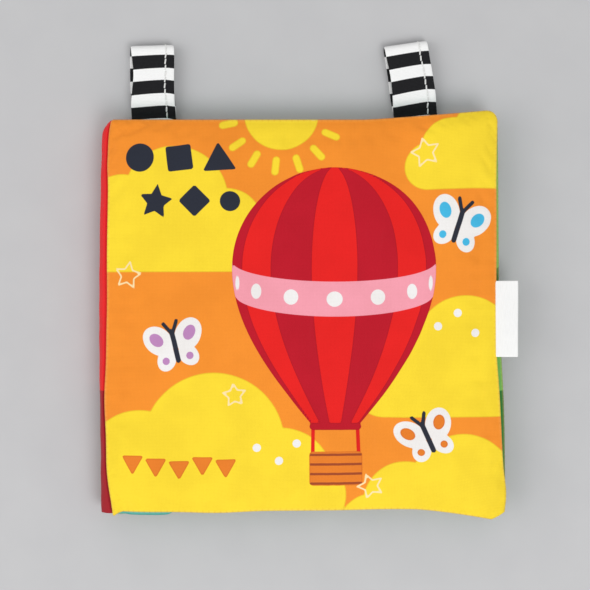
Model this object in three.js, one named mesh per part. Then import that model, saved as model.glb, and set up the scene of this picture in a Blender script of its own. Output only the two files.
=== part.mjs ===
// A soft cloth activity book for babies. Three padded leaves, a front cover, a middle leaf and
// a back cover, are sewn into a red fabric spine. Two striped strap loops stand out of the top
// seam of the back cover, and a blank label is sewn into the fore-edge seam of the front cover.
//
// Frame: millimetres. The book lies closed on its back cover. The origin is on the underside,
// +X points to the fore-edge, +Y to the strap loops and +Z out of the front cover.

import * as THREE from 'three';

// Fabric, padding and running gaps
const fabric = 0.5; // one printed panel with its backing
const fit = 0.3; // gap between pieces that touch
const film = 0.3; // crinkle film
const puff = 1.85; // rise of a leaf's face from its seam to its flat part
const puffWidth = 9; // width of that rise
const crown = 0.7; // further rise to the middle of the leaf
const leafGap = 0.4; // air between two closed leaves at their middles
const flatCut = 0.5; // how far the underside is pressed flat by the book's weight
const paddingInset = 6; // how far the wadding and the film stop short of the seams

// Leaf outlines: each side is where its seam runs, away from the corners
const spineX = -89.8; // hinge lines of both covers
const frontRight = 87.2;
const frontTop = 89.2;
const frontBottom = -88.4;
const middleRight = 88.9;
const middleTop = 88.4;
const middleBottom = -88.6;
const backRight = 86.6;
const backTop = 90.2;
const backBottom = -88.2;

// Spine
const spineLength = 179.4;
const spineEndBulge = 2.4; // how far the spine stands out beyond the hinge lines near its ends
const spineBow = 1.6; // how much further it stands out at half its length
const spineTaper = 4; // length of each rounded end
const spineTip = 1.5; // how far it stands out at its very ends
const hingeClearance = 1.2; // height from a hinge line to the edge of the spine fabric

// Strap loops
const strapWidth = 20;
const strapLayer = 1; // thickness of the folded strap fabric
const strapOpening = 4.6; // clear height inside a loop
const strapSpread = 9; // length over which the two runs part
const openingStart = 0.25; // share of that length where the opening begins
const leftStrapInset = 20.15; // from the hinge line to the middle of the left loop
const leftStrapLength = 34;
const leftStrapLean = 1.4; // degrees
const rightStrapInset = 34.85; // from the fore-edge to the middle of the right loop
const rightStrapLength = 33.4;
const rightStrapLean = 7.9;

// Side label, a ribbon folded double
const labelLength = 34.5;
const labelReach = 8.6;
const labelLayer = 0.35;
const labelOpening = 0.5;
const labelSpread = labelReach / 3;
const labelY = -1.3;

// Heights that follow from the sizes above
const seamHalf = fabric + fit / 2;
const leafHalf = seamHalf + puff + crown;
const pitch = 2 * leafHalf + leafGap;
const backZ = leafHalf - flatCut;
const middleZ = backZ + pitch;
const frontZ = middleZ + pitch;
const spineStack = 2 * fabric + fit;

// Each corner pokes out a little, as the corners of a stuffed square do. push is how far, reach
// is the distance over which it fades, and round is the corner's own radius.
const pushFade = 1.2; // how steeply a push fades over its reach
const front = {
  left: spineX, right: frontRight, top: frontTop, bottom: frontBottom, z: frontZ, bow: 0,
  corners: {
    bottomRight: { push: [4.4, -3.8], reach: [95, 42], round: 6 },
    topRight: { push: [0.8, 4.6], reach: [30, 60], round: 4.5 },
    topLeft: { push: [0, 0], reach: [30, 30], round: 1.5 },
    bottomLeft: { push: [0, -1.3], reach: [30, 50], round: 2 },
  },
};
const middle = {
  left: spineX - spineEndBulge + spineStack + fit, right: middleRight, top: middleTop,
  bottom: middleBottom, z: middleZ, bow: spineBow,
  corners: {
    bottomRight: { push: [3.4, -1.4], reach: [105, 40], round: 6 },
    topRight: { push: [0.4, 2.4], reach: [30, 60], round: 5 },
    topLeft: { push: [0, 0], reach: [30, 30], round: spineTaper },
    bottomLeft: { push: [0, -2.6], reach: [30, 50], round: spineTaper },
  },
};
const back = {
  left: spineX, right: backRight, top: backTop, bottom: backBottom, z: backZ, bow: 0,
  corners: {
    bottomRight: { push: [2.6, -2], reach: [80, 40], round: 6 },
    topRight: { push: [0.8, 4], reach: [30, 60], round: 5 },
    topLeft: { push: [0, 0], reach: [30, 30], round: 2 },
    bottomLeft: { push: [0, -1.6], reach: [30, 50], round: 3 },
  },
};

// Mesh steps
const panelRings = [0, 1.5, 4, 8, 15, 32, 58]; // distances in from the seam
const paddingRings = [paddingInset, 15, 32, 58];
const cornerSteps = 2;
const sideSteps = 6;
const spineArcSteps = 8;
const loopSteps = 6;

// Roughness of each cloth
const printRoughness = 0.75;
const waddingRoughness = 0.95;
const filmRoughness = 0.25;
const strapRoughness = 0.8;
const ribbonRoughness = 0.6;

function cornerList(leaf) {
  const c = leaf.corners;
  return [
    { ...c.bottomRight, x: leaf.right, y: leaf.bottom, turn: -90 },
    { ...c.topRight, x: leaf.right, y: leaf.top, turn: 0 },
    { ...c.topLeft, x: leaf.left, y: leaf.top, turn: 90 },
    { ...c.bottomLeft, x: leaf.left, y: leaf.bottom, turn: 180 },
  ];
}

// The plain rounded rectangle, counter-clockwise, before its corners are pushed out
function plainOutline(leaf) {
  const arcs = cornerList(leaf).map((corner) => {
    const inX = corner.x > (leaf.left + leaf.right) / 2 ? -1 : 1;
    const inY = corner.y > (leaf.top + leaf.bottom) / 2 ? -1 : 1;
    const centre = new THREE.Vector2(corner.x + inX * corner.round, corner.y + inY * corner.round);
    const points = [];
    for (let i = 0; i <= cornerSteps; i += 1) {
      const angle = THREE.MathUtils.degToRad(corner.turn + (90 * i) / cornerSteps);
      const spoke = new THREE.Vector2(Math.cos(angle), Math.sin(angle));
      points.push(centre.clone().addScaledVector(spoke, corner.round));
    }
    return points;
  });
  const outline = [];
  arcs.forEach((arc, i) => {
    const next = arcs[(i + 1) % arcs.length][0];
    const last = arc[arc.length - 1];
    outline.push(...arc);
    for (let k = 1; k < sideSteps; k += 1) {
      outline.push(last.clone().lerp(next, k / sideSteps));
    }
  });
  return outline;
}

// Moves a point of the plain rectangle to its place on the sewn leaf: out with the nearest
// corners, and towards the spine where the spine bows out.
function sewnPlace(leaf, point) {
  const place = point.clone();
  for (const corner of cornerList(leaf)) {
    const away = Math.hypot(point.x - corner.x, point.y - corner.y);
    place.x += corner.push[0] * Math.max(0, 1 - away / corner.reach[0]) ** pushFade;
    place.y += corner.push[1] * Math.max(0, 1 - away / corner.reach[1]) ** pushFade;
  }
  const across = (leaf.right - point.x) / (leaf.right - leaf.left);
  place.x -= bowAt(leaf.bow, point.y) * across;
  return place;
}

function bowAt(bow, y) {
  return bow * Math.max(0, 1 - (2 * y / spineLength) ** 2);
}

// Half the thickness of a leaf at a distance in from its seam: a quick rounded rise, then a
// slow crown up to the middle.
function halfThickness(leaf, inset) {
  const middleInset = reachToMiddle(leaf);
  const rise = 1 - (1 - Math.min(1, inset / puffWidth)) ** 2;
  const swell = 1 - (1 - Math.min(1, inset / middleInset)) ** 2;
  return seamHalf + puff * rise + crown * swell;
}

function reachToMiddle(leaf) {
  return Math.min(leaf.right - leaf.left, leaf.top - leaf.bottom) / 2;
}

// Height of a surface that lies depth below the outside of the leaf's upper or lower face. The
// lower face is pressed flat where it would pass below the ground.
function upperZ(leaf, inset, depth) {
  return leaf.z + halfThickness(leaf, inset) - depth;
}

function lowerZ(leaf, inset, depth) {
  return Math.max(leaf.z - halfThickness(leaf, inset), 0) + depth;
}

// A closed padded sheet: rings of the leaf's outline shrink towards its middle, once over the
// top surface and once over the bottom surface, and a rim joins the two.
function sheet(leaf, rings, topZ, bottomZ) {
  const outline = plainOutline(leaf);
  const count = outline.length;
  const centre = new THREE.Vector2((leaf.left + leaf.right) / 2, (leaf.top + leaf.bottom) / 2);
  const middleInset = reachToMiddle(leaf);
  const positions = [];
  const index = [];
  for (const surface of [topZ, bottomZ]) {
    for (const inset of rings) {
      for (const point of outline) {
        const shrunk = centre.clone().lerp(point, 1 - inset / middleInset);
        const place = sewnPlace(leaf, shrunk);
        positions.push(place.x, place.y, surface(inset));
      }
    }
    const hub = sewnPlace(leaf, centre);
    positions.push(hub.x, hub.y, surface(middleInset));
  }
  const layer = rings.length * count + 1;
  for (let i = 0; i < count; i += 1) {
    const j = (i + 1) % count;
    for (let r = 0; r + 1 < rings.length; r += 1) {
      const a = r * count;
      const b = a + count;
      index.push(a + i, a + j, b + j, a + i, b + j, b + i);
      index.push(layer + a + i, layer + b + j, layer + a + j);
      index.push(layer + a + i, layer + b + i, layer + b + j);
    }
    const inner = (rings.length - 1) * count;
    index.push(inner + i, inner + j, layer - 1);
    index.push(layer + inner + j, layer + inner + i, 2 * layer - 1);
    index.push(i, layer + i, layer + j, i, layer + j, j);
  }
  const geometry = new THREE.BufferGeometry();
  geometry.setAttribute('position', new THREE.Float32BufferAttribute(positions, 3));
  geometry.setIndex(index);
  return geometry;
}

// The two fabric panels of a leaf, and the film and wadding between them
function upperPanel(leaf) {
  return sheet(leaf, panelRings, (d) => upperZ(leaf, d, 0), (d) => upperZ(leaf, d, fabric));
}

function lowerPanel(leaf) {
  return sheet(leaf, panelRings, (d) => lowerZ(leaf, d, fabric), (d) => lowerZ(leaf, d, 0));
}

function crinkleFilm(leaf) {
  const depth = fabric + fit;
  const top = (d) => upperZ(leaf, d, depth);
  return sheet(leaf, paddingRings, top, (d) => upperZ(leaf, d, depth + film));
}

function wadding(leaf) {
  const top = (d) => upperZ(leaf, d, fabric + fit + film + fit);
  return sheet(leaf, paddingRings, top, (d) => lowerZ(leaf, d, fabric + fit));
}

// A strip of the spine: half an ellipse bulging away from the leaves, from the front hinge line
// down to the back one, carried along the book's height and drawn in at its rounded ends.
// depth is how far the strip lies inside the outermost fabric.
function spineStrip(depth) {
  const half = spineLength / 2;
  const stations = [-half, -half + spineTaper / 2, -half + spineTaper, -half / 3,
    half / 3, half - spineTaper, half - spineTaper / 2, half];
  const section = 2 * (spineArcSteps + 1);
  const rise = pitch - hingeClearance;
  const positions = [];
  const index = [];
  for (const y of stations) {
    const intoTaper = Math.max(0, 1 - (half - Math.abs(y)) / spineTaper);
    const bulge = spineEndBulge + bowAt(spineBow, y) - (spineEndBulge - spineTip) * intoTaper ** 2;
    for (let i = 0; i < section; i += 1) {
      const inner = i > spineArcSteps;
      const step = inner ? section - 1 - i : i;
      const inset = inner ? depth + fabric : depth;
      const angle = Math.PI * (step / spineArcSteps - 0.5);
      const x = spineX - (bulge - inset) * Math.max(0, Math.cos(angle));
      positions.push(x, y, middleZ + (rise - inset) * Math.sin(angle));
    }
  }
  for (let s = 0; s + 1 < stations.length; s += 1) {
    for (let i = 0; i < section; i += 1) {
      const j = (i + 1) % section;
      const a = s * section;
      const b = a + section;
      index.push(a + i, a + j, b + j, a + i, b + j, b + i);
    }
  }
  const end = (stations.length - 1) * section;
  for (let i = 0; i < spineArcSteps; i += 1) {
    const k = section - 1 - i;
    index.push(i, k - 1, i + 1, i, k, k - 1);
    index.push(end + i, end + i + 1, end + k - 1, end + i, end + k - 1, end + k);
  }
  const geometry = new THREE.BufferGeometry();
  geometry.setAttribute('position', new THREE.Float32BufferAttribute(positions, 3));
  geometry.setIndex(index);
  return geometry;
}

// Side view of a ribbon folded into a loop. Its sewn end is a half round about (0, 0). The lower
// run spreads down to low and the upper run up to high, and the fold joins them at reach.
function loopShape(reach, layer, low, high, spread) {
  const bend = (high - low) / 2;
  const bendX = reach - bend;
  const ease = (x) => THREE.MathUtils.smoothstep(x, 0, spread);
  const under = (x) => THREE.MathUtils.lerp(-layer, low, ease(x));
  const over = (x) => THREE.MathUtils.lerp(layer, high, ease(x));
  const runFrom = (start, z) => {
    const points = [];
    for (let i = 0; i <= loopSteps; i += 1) {
      const x = THREE.MathUtils.lerp(start, spread, i / loopSteps);
      points.push(new THREE.Vector2(x, z(x)));
    }
    return points;
  };
  const foldOf = (radius) => {
    const points = [];
    for (let i = 0; i <= 2 * loopSteps; i += 1) {
      const angle = Math.PI * (i / (2 * loopSteps) - 0.5);
      const x = bendX + radius * Math.cos(angle);
      points.push(new THREE.Vector2(x, low + bend + radius * Math.sin(angle)));
    }
    return points;
  };
  const sewnEnd = [];
  for (let i = 1; i < loopSteps; i += 1) {
    const angle = Math.PI * (0.5 + i / loopSteps);
    sewnEnd.push(new THREE.Vector2(layer * Math.cos(angle), layer * Math.sin(angle)));
  }
  const split = spread * openingStart;
  const outside = [...runFrom(0, under), ...foldOf(bend), ...runFrom(0, over).reverse(), ...sewnEnd];
  const inside = [
    ...runFrom(split, (x) => under(x) + layer),
    ...foldOf(bend - layer),
    ...runFrom(split, (x) => over(x) - layer).reverse(),
  ];
  const shape = new THREE.Shape(outside);
  shape.holes.push(new THREE.Path(inside));
  return shape;
}

// A ribbon loop sewn along the line from seamStart to seamEnd, which runs along the axis that
// the loop flexes on. along is the way the loop points from its seam.
function ribbonLoop(shape, seamStart, seamEnd, along) {
  const across = new THREE.Vector3().subVectors(seamEnd, seamStart);
  const width = across.length();
  const geometry = new THREE.ExtrudeGeometry(shape, { depth: width, bevelEnabled: false });
  const up = new THREE.Vector3(0, 0, 1);
  const frame = new THREE.Matrix4().makeBasis(along, up, across.normalize());
  geometry.applyMatrix4(frame.setPosition(seamStart));
  return geometry;
}

// A point of a leaf's seam, found on the outline's plain side and moved with its corners
function seamPoint(leaf, x, y) {
  return sewnPlace(leaf, new THREE.Vector2(x, y));
}

function strapLoop(x, length, lean) {
  const low = -backZ;
  const high = low + strapOpening + 2 * strapLayer;
  const shape = loopShape(length, strapLayer, low, high, strapSpread);
  const standOff = strapLayer + fit;
  const start = seamPoint(back, x - strapWidth / 2, back.top);
  const end = seamPoint(back, x + strapWidth / 2, back.top);
  const seamStart = new THREE.Vector3(start.x, start.y + standOff, backZ);
  const seamEnd = new THREE.Vector3(end.x, end.y + standOff, backZ);
  const angle = THREE.MathUtils.degToRad(lean);
  const along = new THREE.Vector3(-Math.sin(angle), Math.cos(angle), 0);
  return ribbonLoop(shape, seamStart, seamEnd, along);
}

function labelLoop() {
  const high = labelLayer + labelOpening / 2;
  const shape = loopShape(labelReach, labelLayer, -high, high, labelSpread);
  const standOff = labelLayer + fit;
  const start = seamPoint(front, front.right, labelY + labelLength / 2);
  const end = seamPoint(front, front.right, labelY - labelLength / 2);
  const seamStart = new THREE.Vector3(start.x + standOff, start.y, frontZ);
  const seamEnd = new THREE.Vector3(end.x + standOff, end.y, frontZ);
  return ribbonLoop(shape, seamStart, seamEnd, new THREE.Vector3(1, 0, 0));
}

function piece(name, geometry, color, roughness) {
  const material = new THREE.MeshStandardMaterial({ color, roughness, metalness: 0 });
  const mesh = new THREE.Mesh(geometry, material);
  mesh.name = name;
  return mesh;
}

const orange = 0xf18f3a;
const green = 0x57b06a;
const teal = 0x55b8b4;
const yellow = 0xfae046;
const red = 0xe23232;
const white = 0xf4f3f0;
const charcoal = 0x2a2a2c;
const silver = 0xc9ced2;

function leafGroup(name, leaf, upper, lower) {
  const group = new THREE.Group();
  group.add(piece(`${name}_${upper.name}_panel`, upperPanel(leaf), upper.color, printRoughness));
  group.add(piece(`${name}_${lower.name}_panel`, lowerPanel(leaf), lower.color, printRoughness));
  group.add(piece(`${name}_wadding`, wadding(leaf), white, waddingRoughness));
  group.add(piece(`${name}_crinkle_film`, crinkleFilm(leaf), silver, filmRoughness));
  return group;
}

const book = new THREE.Group();
const printed = { name: 'printed', color: orange };
book.add(leafGroup('front_cover', front, printed, { name: 'page', color: teal }));
const rightPage = { name: 'right_page', color: green };
book.add(leafGroup('middle_leaf', middle, rightPage, { name: 'left_page', color: yellow }));
const backPage = { name: 'page', color: green };
book.add(leafGroup('back_cover', back, backPage, { name: 'outer', color: orange }));
book.add(piece('spine_outer_band', spineStrip(0), red, printRoughness));
book.add(piece('spine_lining', spineStrip(fabric + fit), red, printRoughness));
const leftStrap = strapLoop(spineX + leftStrapInset, leftStrapLength, leftStrapLean);
book.add(piece('left_strap_loop', leftStrap, charcoal, strapRoughness));
const rightStrap = strapLoop(backRight - rightStrapInset, rightStrapLength, rightStrapLean);
book.add(piece('right_strap_loop', rightStrap, charcoal, strapRoughness));
book.add(piece('side_label', labelLoop(), white, ribbonRoughness));

export default book;
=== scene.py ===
"""A soft cloth activity book for babies, dressed in its fabrics.

Three padded leaves, a front cover, a middle leaf and a back cover, are sewn into a red spine. Two
striped strap loops stand out of the top seam of the back cover, and a blank ribbon label stands out of
the fore-edge of the front cover. Sizes are millimetres here and become metres in each mesh.
+X points to the fore-edge, +Y to the strap loops and +Z out of the front cover.
"""
import math
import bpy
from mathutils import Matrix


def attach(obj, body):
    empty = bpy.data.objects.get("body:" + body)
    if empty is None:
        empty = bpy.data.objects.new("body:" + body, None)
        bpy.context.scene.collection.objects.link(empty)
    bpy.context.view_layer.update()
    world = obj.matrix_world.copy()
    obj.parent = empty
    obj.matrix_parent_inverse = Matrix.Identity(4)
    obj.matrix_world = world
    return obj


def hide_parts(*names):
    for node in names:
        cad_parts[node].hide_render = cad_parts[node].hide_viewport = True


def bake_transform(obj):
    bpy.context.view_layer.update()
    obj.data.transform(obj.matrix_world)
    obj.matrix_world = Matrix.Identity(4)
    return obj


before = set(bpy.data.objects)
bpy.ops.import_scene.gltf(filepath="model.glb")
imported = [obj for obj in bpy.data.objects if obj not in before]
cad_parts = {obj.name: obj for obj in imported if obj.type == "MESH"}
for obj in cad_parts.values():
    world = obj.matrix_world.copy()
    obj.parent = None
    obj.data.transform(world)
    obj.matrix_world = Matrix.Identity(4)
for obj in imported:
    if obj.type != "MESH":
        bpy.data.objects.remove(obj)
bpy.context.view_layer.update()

from types import SimpleNamespace

import bpy
import numpy as np

MM = 0.001

# Cloth, padding and the gaps between them
FABRIC = 0.5
SEAM_GAP = 0.24  # between the two panels of a leaf where they meet
FIT = 0.3
FILM = 0.3
EDGE_ROUND = 7.0  # how far in from its seam a leaf rounds over
PUFF = 2.3
CROWN = 0.55
PADDING_INSET = 6.0
LEAF_HALF = 3.2
LEAF_GAP = 0.4
FLAT_CUT = 0.5
PITCH = 2 * LEAF_HALF + LEAF_GAP
BACK_Z = LEAF_HALF - FLAT_CUT
MIDDLE_Z = BACK_Z + PITCH
FRONT_Z = MIDDLE_Z + PITCH

# Spine
SPINE_X = -89.8
SPINE_LENGTH = 179.4
SPINE_BULGE = 2.4
SPINE_BOW = 1.6
SPINE_TAPER = 6.0
SPINE_TIP = -1.0
SPINE_FOOT = 0.6  # how much further the spine stands out at its lower end
SPINE_FOOT_REACH = 35.0
SPINE_CREASE = 0.9  # how deep the crease is beside each seam of the spine
SPINE_CREASE_AT = 1.38  # its angle on the quarter ellipse of each half, from the middle of the bulge
SPINE_CREASE_SPREAD = 0.12
SPINE_LONG_FOLD = 0.22  # depth, angle and spread of the long fold that runs down each half
SPINE_LONG_FOLD_AT = 0.75
SPINE_LONG_FOLD_SPREAD = 0.16
SPINE_WRINKLE = 0.16  # height of the small folds across the spine
SPINE_CLEAR = 0.05  # between the spine's edge and the middle of the cover's seam, beyond half its cloth
SPINE_OVERLAP = 0.25  # how far the spine's edge reaches over the cover's seam
SPINE_TOP_TUCK = 0.9
LINING_DEPTH = FABRIC + FIT
LINING_STEP = 0.4  # the share of its depth by which the lining meets its cover further in
CRIMSON_TOP = -34.0  # the spine is a deeper crimson below this

# Straps and label
STRAP_WIDTH = 20.0
STRAP_LAYER = 1.0
STRAP_OPENING = 4.6
STRAP_SPREAD = 9.0
STRIPE = 5.9
STRIPE_START = 0.5  # where the first white stripe begins, from the fold
BLACK_SPREAD = 0.15  # how far the black threads spread over each edge of a white stripe
STITCH_FROM_EDGE = 4.0
STITCH_LENGTH = 2.7
STITCH_GAP = 0.05
THREAD_RADIUS = 0.37
STRAP_TUCK = 0.9  # how far both ends go into the seam
STRAP_WAIST_AT = 15.0  # where the left edge of a strap's front run is drawn in most, from the fold
STRAP_WAIST_SPREAD = 8.0
STRAP_FLARE_START = 24.0  # where that edge begins to stand out again, from the fold
STRAP_FLARE_END = 33.0
STRAP_TURN = 7.0  # over this length from its seam a strap turns square to its own lean
STRAP_SWAY = 0.22  # how far a strap sways from side to side along its length
STRAP_SWAY_PITCH = 6.1
STRAP_CROWN = 0.14  # how far the middle of a strap rises over its edges
STRAP_RUFFLE = 0.1  # height of the ruffle beside the stitches
STRAP_FOLD_STRETCH = (-4.0, 5.0)  # round the fold, where the back run passes into the front run
STRAP_SHIFT_REACH = 14.0  # over this length from its seam the back run moves to its own place
STITCH_WANDER = 0.16  # how far the row of stitches strays from its line
STITCH_SLANT = 0.16  # how far the ends of a stitch lie out of line
STITCH_DIP = 1.2  # how far its ends lie below its middle, in radii of the thread
STITCH_LIFT = 0.35  # how far its middle lies over the path of the row, in radii of the thread
STITCH_PINCH = 0.06  # the share of its thickness that a strap loses under its stitches
LABEL_WAVE = 0.28  # height of the waves across the label
LABEL_CURL = 0.5  # how far the label's free corners curl up
LABEL_EDGE_WAVE = 0.16  # depth of the waves of its free edge
LABEL_LENGTH = 34.5
LABEL_REACH = 9.1
LABEL_LAYER = 0.35
LABEL_OPENING = 0.5
LABEL_Y = -1.3
LABEL_TUCK = 1.1

# Small folds and waves of the padded cloth
PUCKER_PITCH = 6.5
PUCKER_REACH = 5.0
PUCKER_DEPTH = 0.16
SEAM_STITCH = 2.7  # the seams pull the cloth in a little at each stitch
SIDE_WAVE_REACH = 40.0  # how far into a leaf a wave of its side reaches
BROAD_WAVE = 52.0  # length of the broad waves of a panel
SMALL_WAVE = 19.0
SMALL_WAVE_SHARE = 0.35
STILL_EDGE = 14.0  # over this width from its seam the waves of a panel fade in
BAG_DEPTH = 1.5  # how far in from its seam the lower cloth of a bag sags out most
CLEAR_OF_GROUND = 0.02

# Padding and film inside the leaves
LUMP = 0.15  # height and width of the lumps in the filling
LUMP_WIDTH = 17.0
TUFT = 0.08  # the same for its small tufts
TUFT_WIDTH = 7.0
FILLING_SLACK = 0.4  # how far the filling stays away from its panels, beyond its clearance
FILLING_ROUND = 3.0  # over this width the edge of the filling rounds over
FILLING_EDGE = 0.35  # the share of its height that is left at its edge
CREASE = 0.1  # height of the creases in the film
CREASE_WIDTHS = (5, 9)

# How the simulated cloth swells
SETTLE_SCALE = 10.0
SETTLE_FRAMES = 20
FILLING_PRESSURE = 1.2
FILLING_HOLD = 0.06  # how firmly the cloth away from the seam is held in place
EXTRA_CLOTH = 0.008  # the share by which the cloth is larger than its seam
OUTER_MOVE = 0.65  # how far a point of an outer face may settle
INNER_MOVE = 0.12  # the same for a face against another leaf, beyond its share of the gap between them
GAP_SHARE = 0.5
SEAM_MOVE = 0.01  # the share of that which is left at the seam
SEAM_HOLD = 4.0  # over this width the seam holds back how far an inner face settles
CLOTH_SETTINGS = {
    "quality": 5, "mass": 0.3, "tension_stiffness": 18, "compression_stiffness": 18,
    "shear_stiffness": 8, "bending_stiffness": 0.6, "air_damping": 2, "pin_stiffness": 1,
    "use_pressure": True, "uniform_pressure_force": FILLING_PRESSURE, "shrink_min": -EXTRA_CLOTH,
    "vertex_group_mass": "sewn",
}

# Seeds of each leaf's random forms
SWELL_SEED = 40
FILLING_SEED = 20
FILM_SEED = 30

# Grid steps across a leaf
FRONT_STEPS = 216
PAGE_STEPS = 170
INNER_STEPS = 84
SETTLE_STEPS = 96
SPINE_ROWS = 220
SPINE_COLUMNS = 22
LOOP_STEPS = 170
RUN_STEPS = 60
TURN_STEPS = 32
STRAP_COLUMNS = 44
LABEL_COLUMNS = 72
STITCH_RINGS = 9
THREAD_SIDES = 6

# Floor and camera
FLOOR_REACH = 1600.0
CAMERA_PLACE = (-4.09, 9.53, 648.8)
CAMERA_LENS = 85.0
CAMERA_SENSOR = 36.0

# Light: each lamp's name, its place and size in metres, and its power
SKY_STRENGTH = 0.63
LAMPS = (
    ("window_light", (0.42, -0.56, 1.14), 0.7, 6.4),
    ("fill_light", (-0.95, -0.1, 0.8), 1.2, 4.5),
)


def corner(x, y, push, reach, radius, fade=(1.2, 1.2), cut=0.0, tall=1.0):
    """A leaf's corner: push is how far it pokes out, which fades over reach by the power fade, and radius
    rounds it, with tall for its share along Y. With cut at 1 a straight edge crosses the corner in place
    of the round."""
    return SimpleNamespace(x=x, y=y, push=push, reach=reach, fade=fade, cut=cut,
                           radius=(radius, radius * tall))


def leaf(name, body, left, right, top, bottom, z, corners, bow=0.0, waves=(), bags=()):
    """A padded leaf. corners holds push, reach, radius, fade, cut and tall for the bottom right, top right,
    top left and bottom left corner. A wave is a side, its middle, its spread and how far the seam moves
    there. A bag is the same for the lower cloth alone, which sags out past the seam there. moved is filled
    by the simulation: for each face, how far its cloth has moved."""
    places = ((right, bottom), (right, top), (left, top), (left, bottom))
    made = [corner(*place, *facts) for place, facts in zip(places, corners)]
    return SimpleNamespace(name=name, body=body, left=left, right=right, top=top, bottom=bottom, z=z,
                           corners=made, bow=bow, waves=waves, bags=bags, moved={},
                           middle=((left + right) / 2, (top + bottom) / 2),
                           half=((right - left) / 2, (top - bottom) / 2))


FRONT = leaf(
    "front_cover", "front_cover", SPINE_X, 87.2, 89.2, -88.4, FRONT_Z,
    (((4.4, -5.2), (95, 40), 6.0, (1.2, 1.6), 1.0, 0.66), ((0.8, 4.6), (30, 60), 5.5),
     ((1.6, 0.0), (13, 30), 1.5, (2.0, 1.2)), ((3.1, -2.6), (24, 6), 0.9, (1.8, 1.5))),
    waves=(("left", 70, 40, 0.9), ("left", 68, 6, -0.4), ("left", 8, 14, 0.3), ("left", -38, 13, -0.85),
           ("bottom", 40, 22, 0.7), ("bottom", -40, 16, -1.0), ("bottom", -70, 18, -0.6),
           ("right", 40, 35, 0.25), ("right", -16, 13, -0.55), ("right", -76.5, 7, 0.85),
           ("right", -85, 4, -0.45)),
    bags=(("bottom", -72, 13.0, -3.0),),
)
MIDDLE = leaf(
    "middle_leaf", "spine", SPINE_X - SPINE_BULGE + 2 * FABRIC + 2 * FIT, 89.2, 88.4, -88.6, MIDDLE_Z,
    (((3.4, -1.4), (105, 40), 6.0), ((0.4, 2.4), (30, 60), 5.0), ((0.0, 0.0), (30, 30), SPINE_TAPER),
     ((0.0, -2.6), (30, 50), SPINE_TAPER)),
    bow=SPINE_BOW,
    waves=(("right", 84, 16, -0.6), ("right", 20, 22, 0.2), ("right", -42, 30, 0.9),
           ("bottom", -66, 16, -0.6)),
)
BACK = leaf(
    "back_cover", "back_cover", SPINE_X, 86.6, 90.2, -88.2, BACK_Z,
    (((2.6, -2.0), (80, 40), 6.0), ((0.8, 4.0), (30, 60), 5.0), ((0.0, 0.0), (30, 30), 2.0),
     ((0.0, -1.6), (30, 50), 3.0)),
)


# Grids and meshes


def crowded(steps, crowd=0.42):
    """Places from -1 to 1 that crowd towards both ends: a straight line blended with a quarter sine."""
    even = np.linspace(-1, 1, steps + 1)
    return (1 - crowd) * even + crowd * np.sin(np.pi * even / 2)


def smooth(value, start, end):
    """0 before start, 1 after end, and 3t^2 - 2t^3 between them."""
    t = np.clip((value - start) / (end - start), 0, 1)
    return t * t * (3 - 2 * t)


def bell(value, middle, spread, power=2):
    """1 in the middle and less to both sides: e to the minus (distance / spread) to the power."""
    return np.exp(-((value - middle) / spread) ** power)


def unit(vectors):
    """The same directions with length 1."""
    return vectors / np.maximum(np.linalg.norm(vectors, axis=-1, keepdims=True), 1e-9)


def lengths_along(path):
    """How far each point of a path lies from its start, along the path."""
    return np.r_[0.0, np.cumsum(np.linalg.norm(np.diff(path, axis=0), axis=1))]


def swell(x, y, wavelength, seed):
    """Smooth relief of about -1 to 1: six plane waves, each turned, shifted and stretched at random."""
    draw = np.random.default_rng(seed)
    turns = draw.uniform(0, np.pi, 6)
    shifts = draw.uniform(0, 2 * np.pi, 6)
    lengths = wavelength * draw.uniform(0.75, 1.3, 6)
    total = 0
    for turn, shift, length in zip(turns, shifts, lengths):
        total = total + np.sin((x * np.cos(turn) + y * np.sin(turn)) * 2 * np.pi / length + shift)
    return total / math.sqrt(6)


def grid_quads(rows, cols):
    """Four-sided faces of a grid whose points run along a row first."""
    first = (np.arange(rows - 1)[:, None] * cols + np.arange(cols - 1)).reshape(-1, 1)
    return first + np.array([0, 1, cols + 1, cols])


def grid_border(rows, cols):
    """The grid's outer points in order, turning the same way as its faces."""
    index = np.arange(rows * cols).reshape(rows, cols)
    return np.concatenate([index[0, :-1], index[:-1, -1], index[-1, :0:-1], index[:0:-1, 0]])


def grid_normals(grid):
    """Unit normals of a grid: the cross product of its two directions at each point."""
    return unit(np.cross(np.gradient(grid, axis=1), np.gradient(grid, axis=0)))


def pillow(upper, lower):
    """A closed pad: two grids over the same places whose borders are joined by a rim."""
    rows, cols = upper.shape[:2]
    count = rows * cols
    faces = grid_quads(rows, cols)
    edge = grid_border(rows, cols)
    following = np.roll(edge, -1)
    rim = np.stack([edge, edge + count, following + count, following], axis=1)
    points = np.concatenate([upper.reshape(-1, 3), lower.reshape(-1, 3)])
    return points, np.concatenate([faces, faces[:, ::-1] + count, rim])


def turned_over(grid, values):
    """The same grid and point values with the columns the other way round, so the normals turn over."""
    flip = np.arange(grid.shape[0] * grid.shape[1]).reshape(grid.shape[:2])[:, ::-1].ravel()
    return grid[:, ::-1], {key: value[flip] for key, value in values.items()}


def shell(outer, thickness):
    """A closed sheet of cloth: the outer grid and the same grid moved in along its normals."""
    return pillow(outer, outer - thickness * grid_normals(outer))


def closed_tube(rings, points):
    """Faces of a tube whose points run once round each ring, closed straight across both end rings."""
    index = np.arange(rings * points).reshape(rings, points)
    after = np.roll(index, -1, axis=1)
    walls = np.stack([index[:-1], after[:-1], after[1:], index[1:]], axis=-1).reshape(-1, 4)
    step = np.arange(points // 2 - 1)
    cap = np.stack([step, points - 1 - step, points - 2 - step, step + 1], axis=-1)
    return np.concatenate([walls, cap, cap[:, ::-1] + index[-1, 0]])


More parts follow.
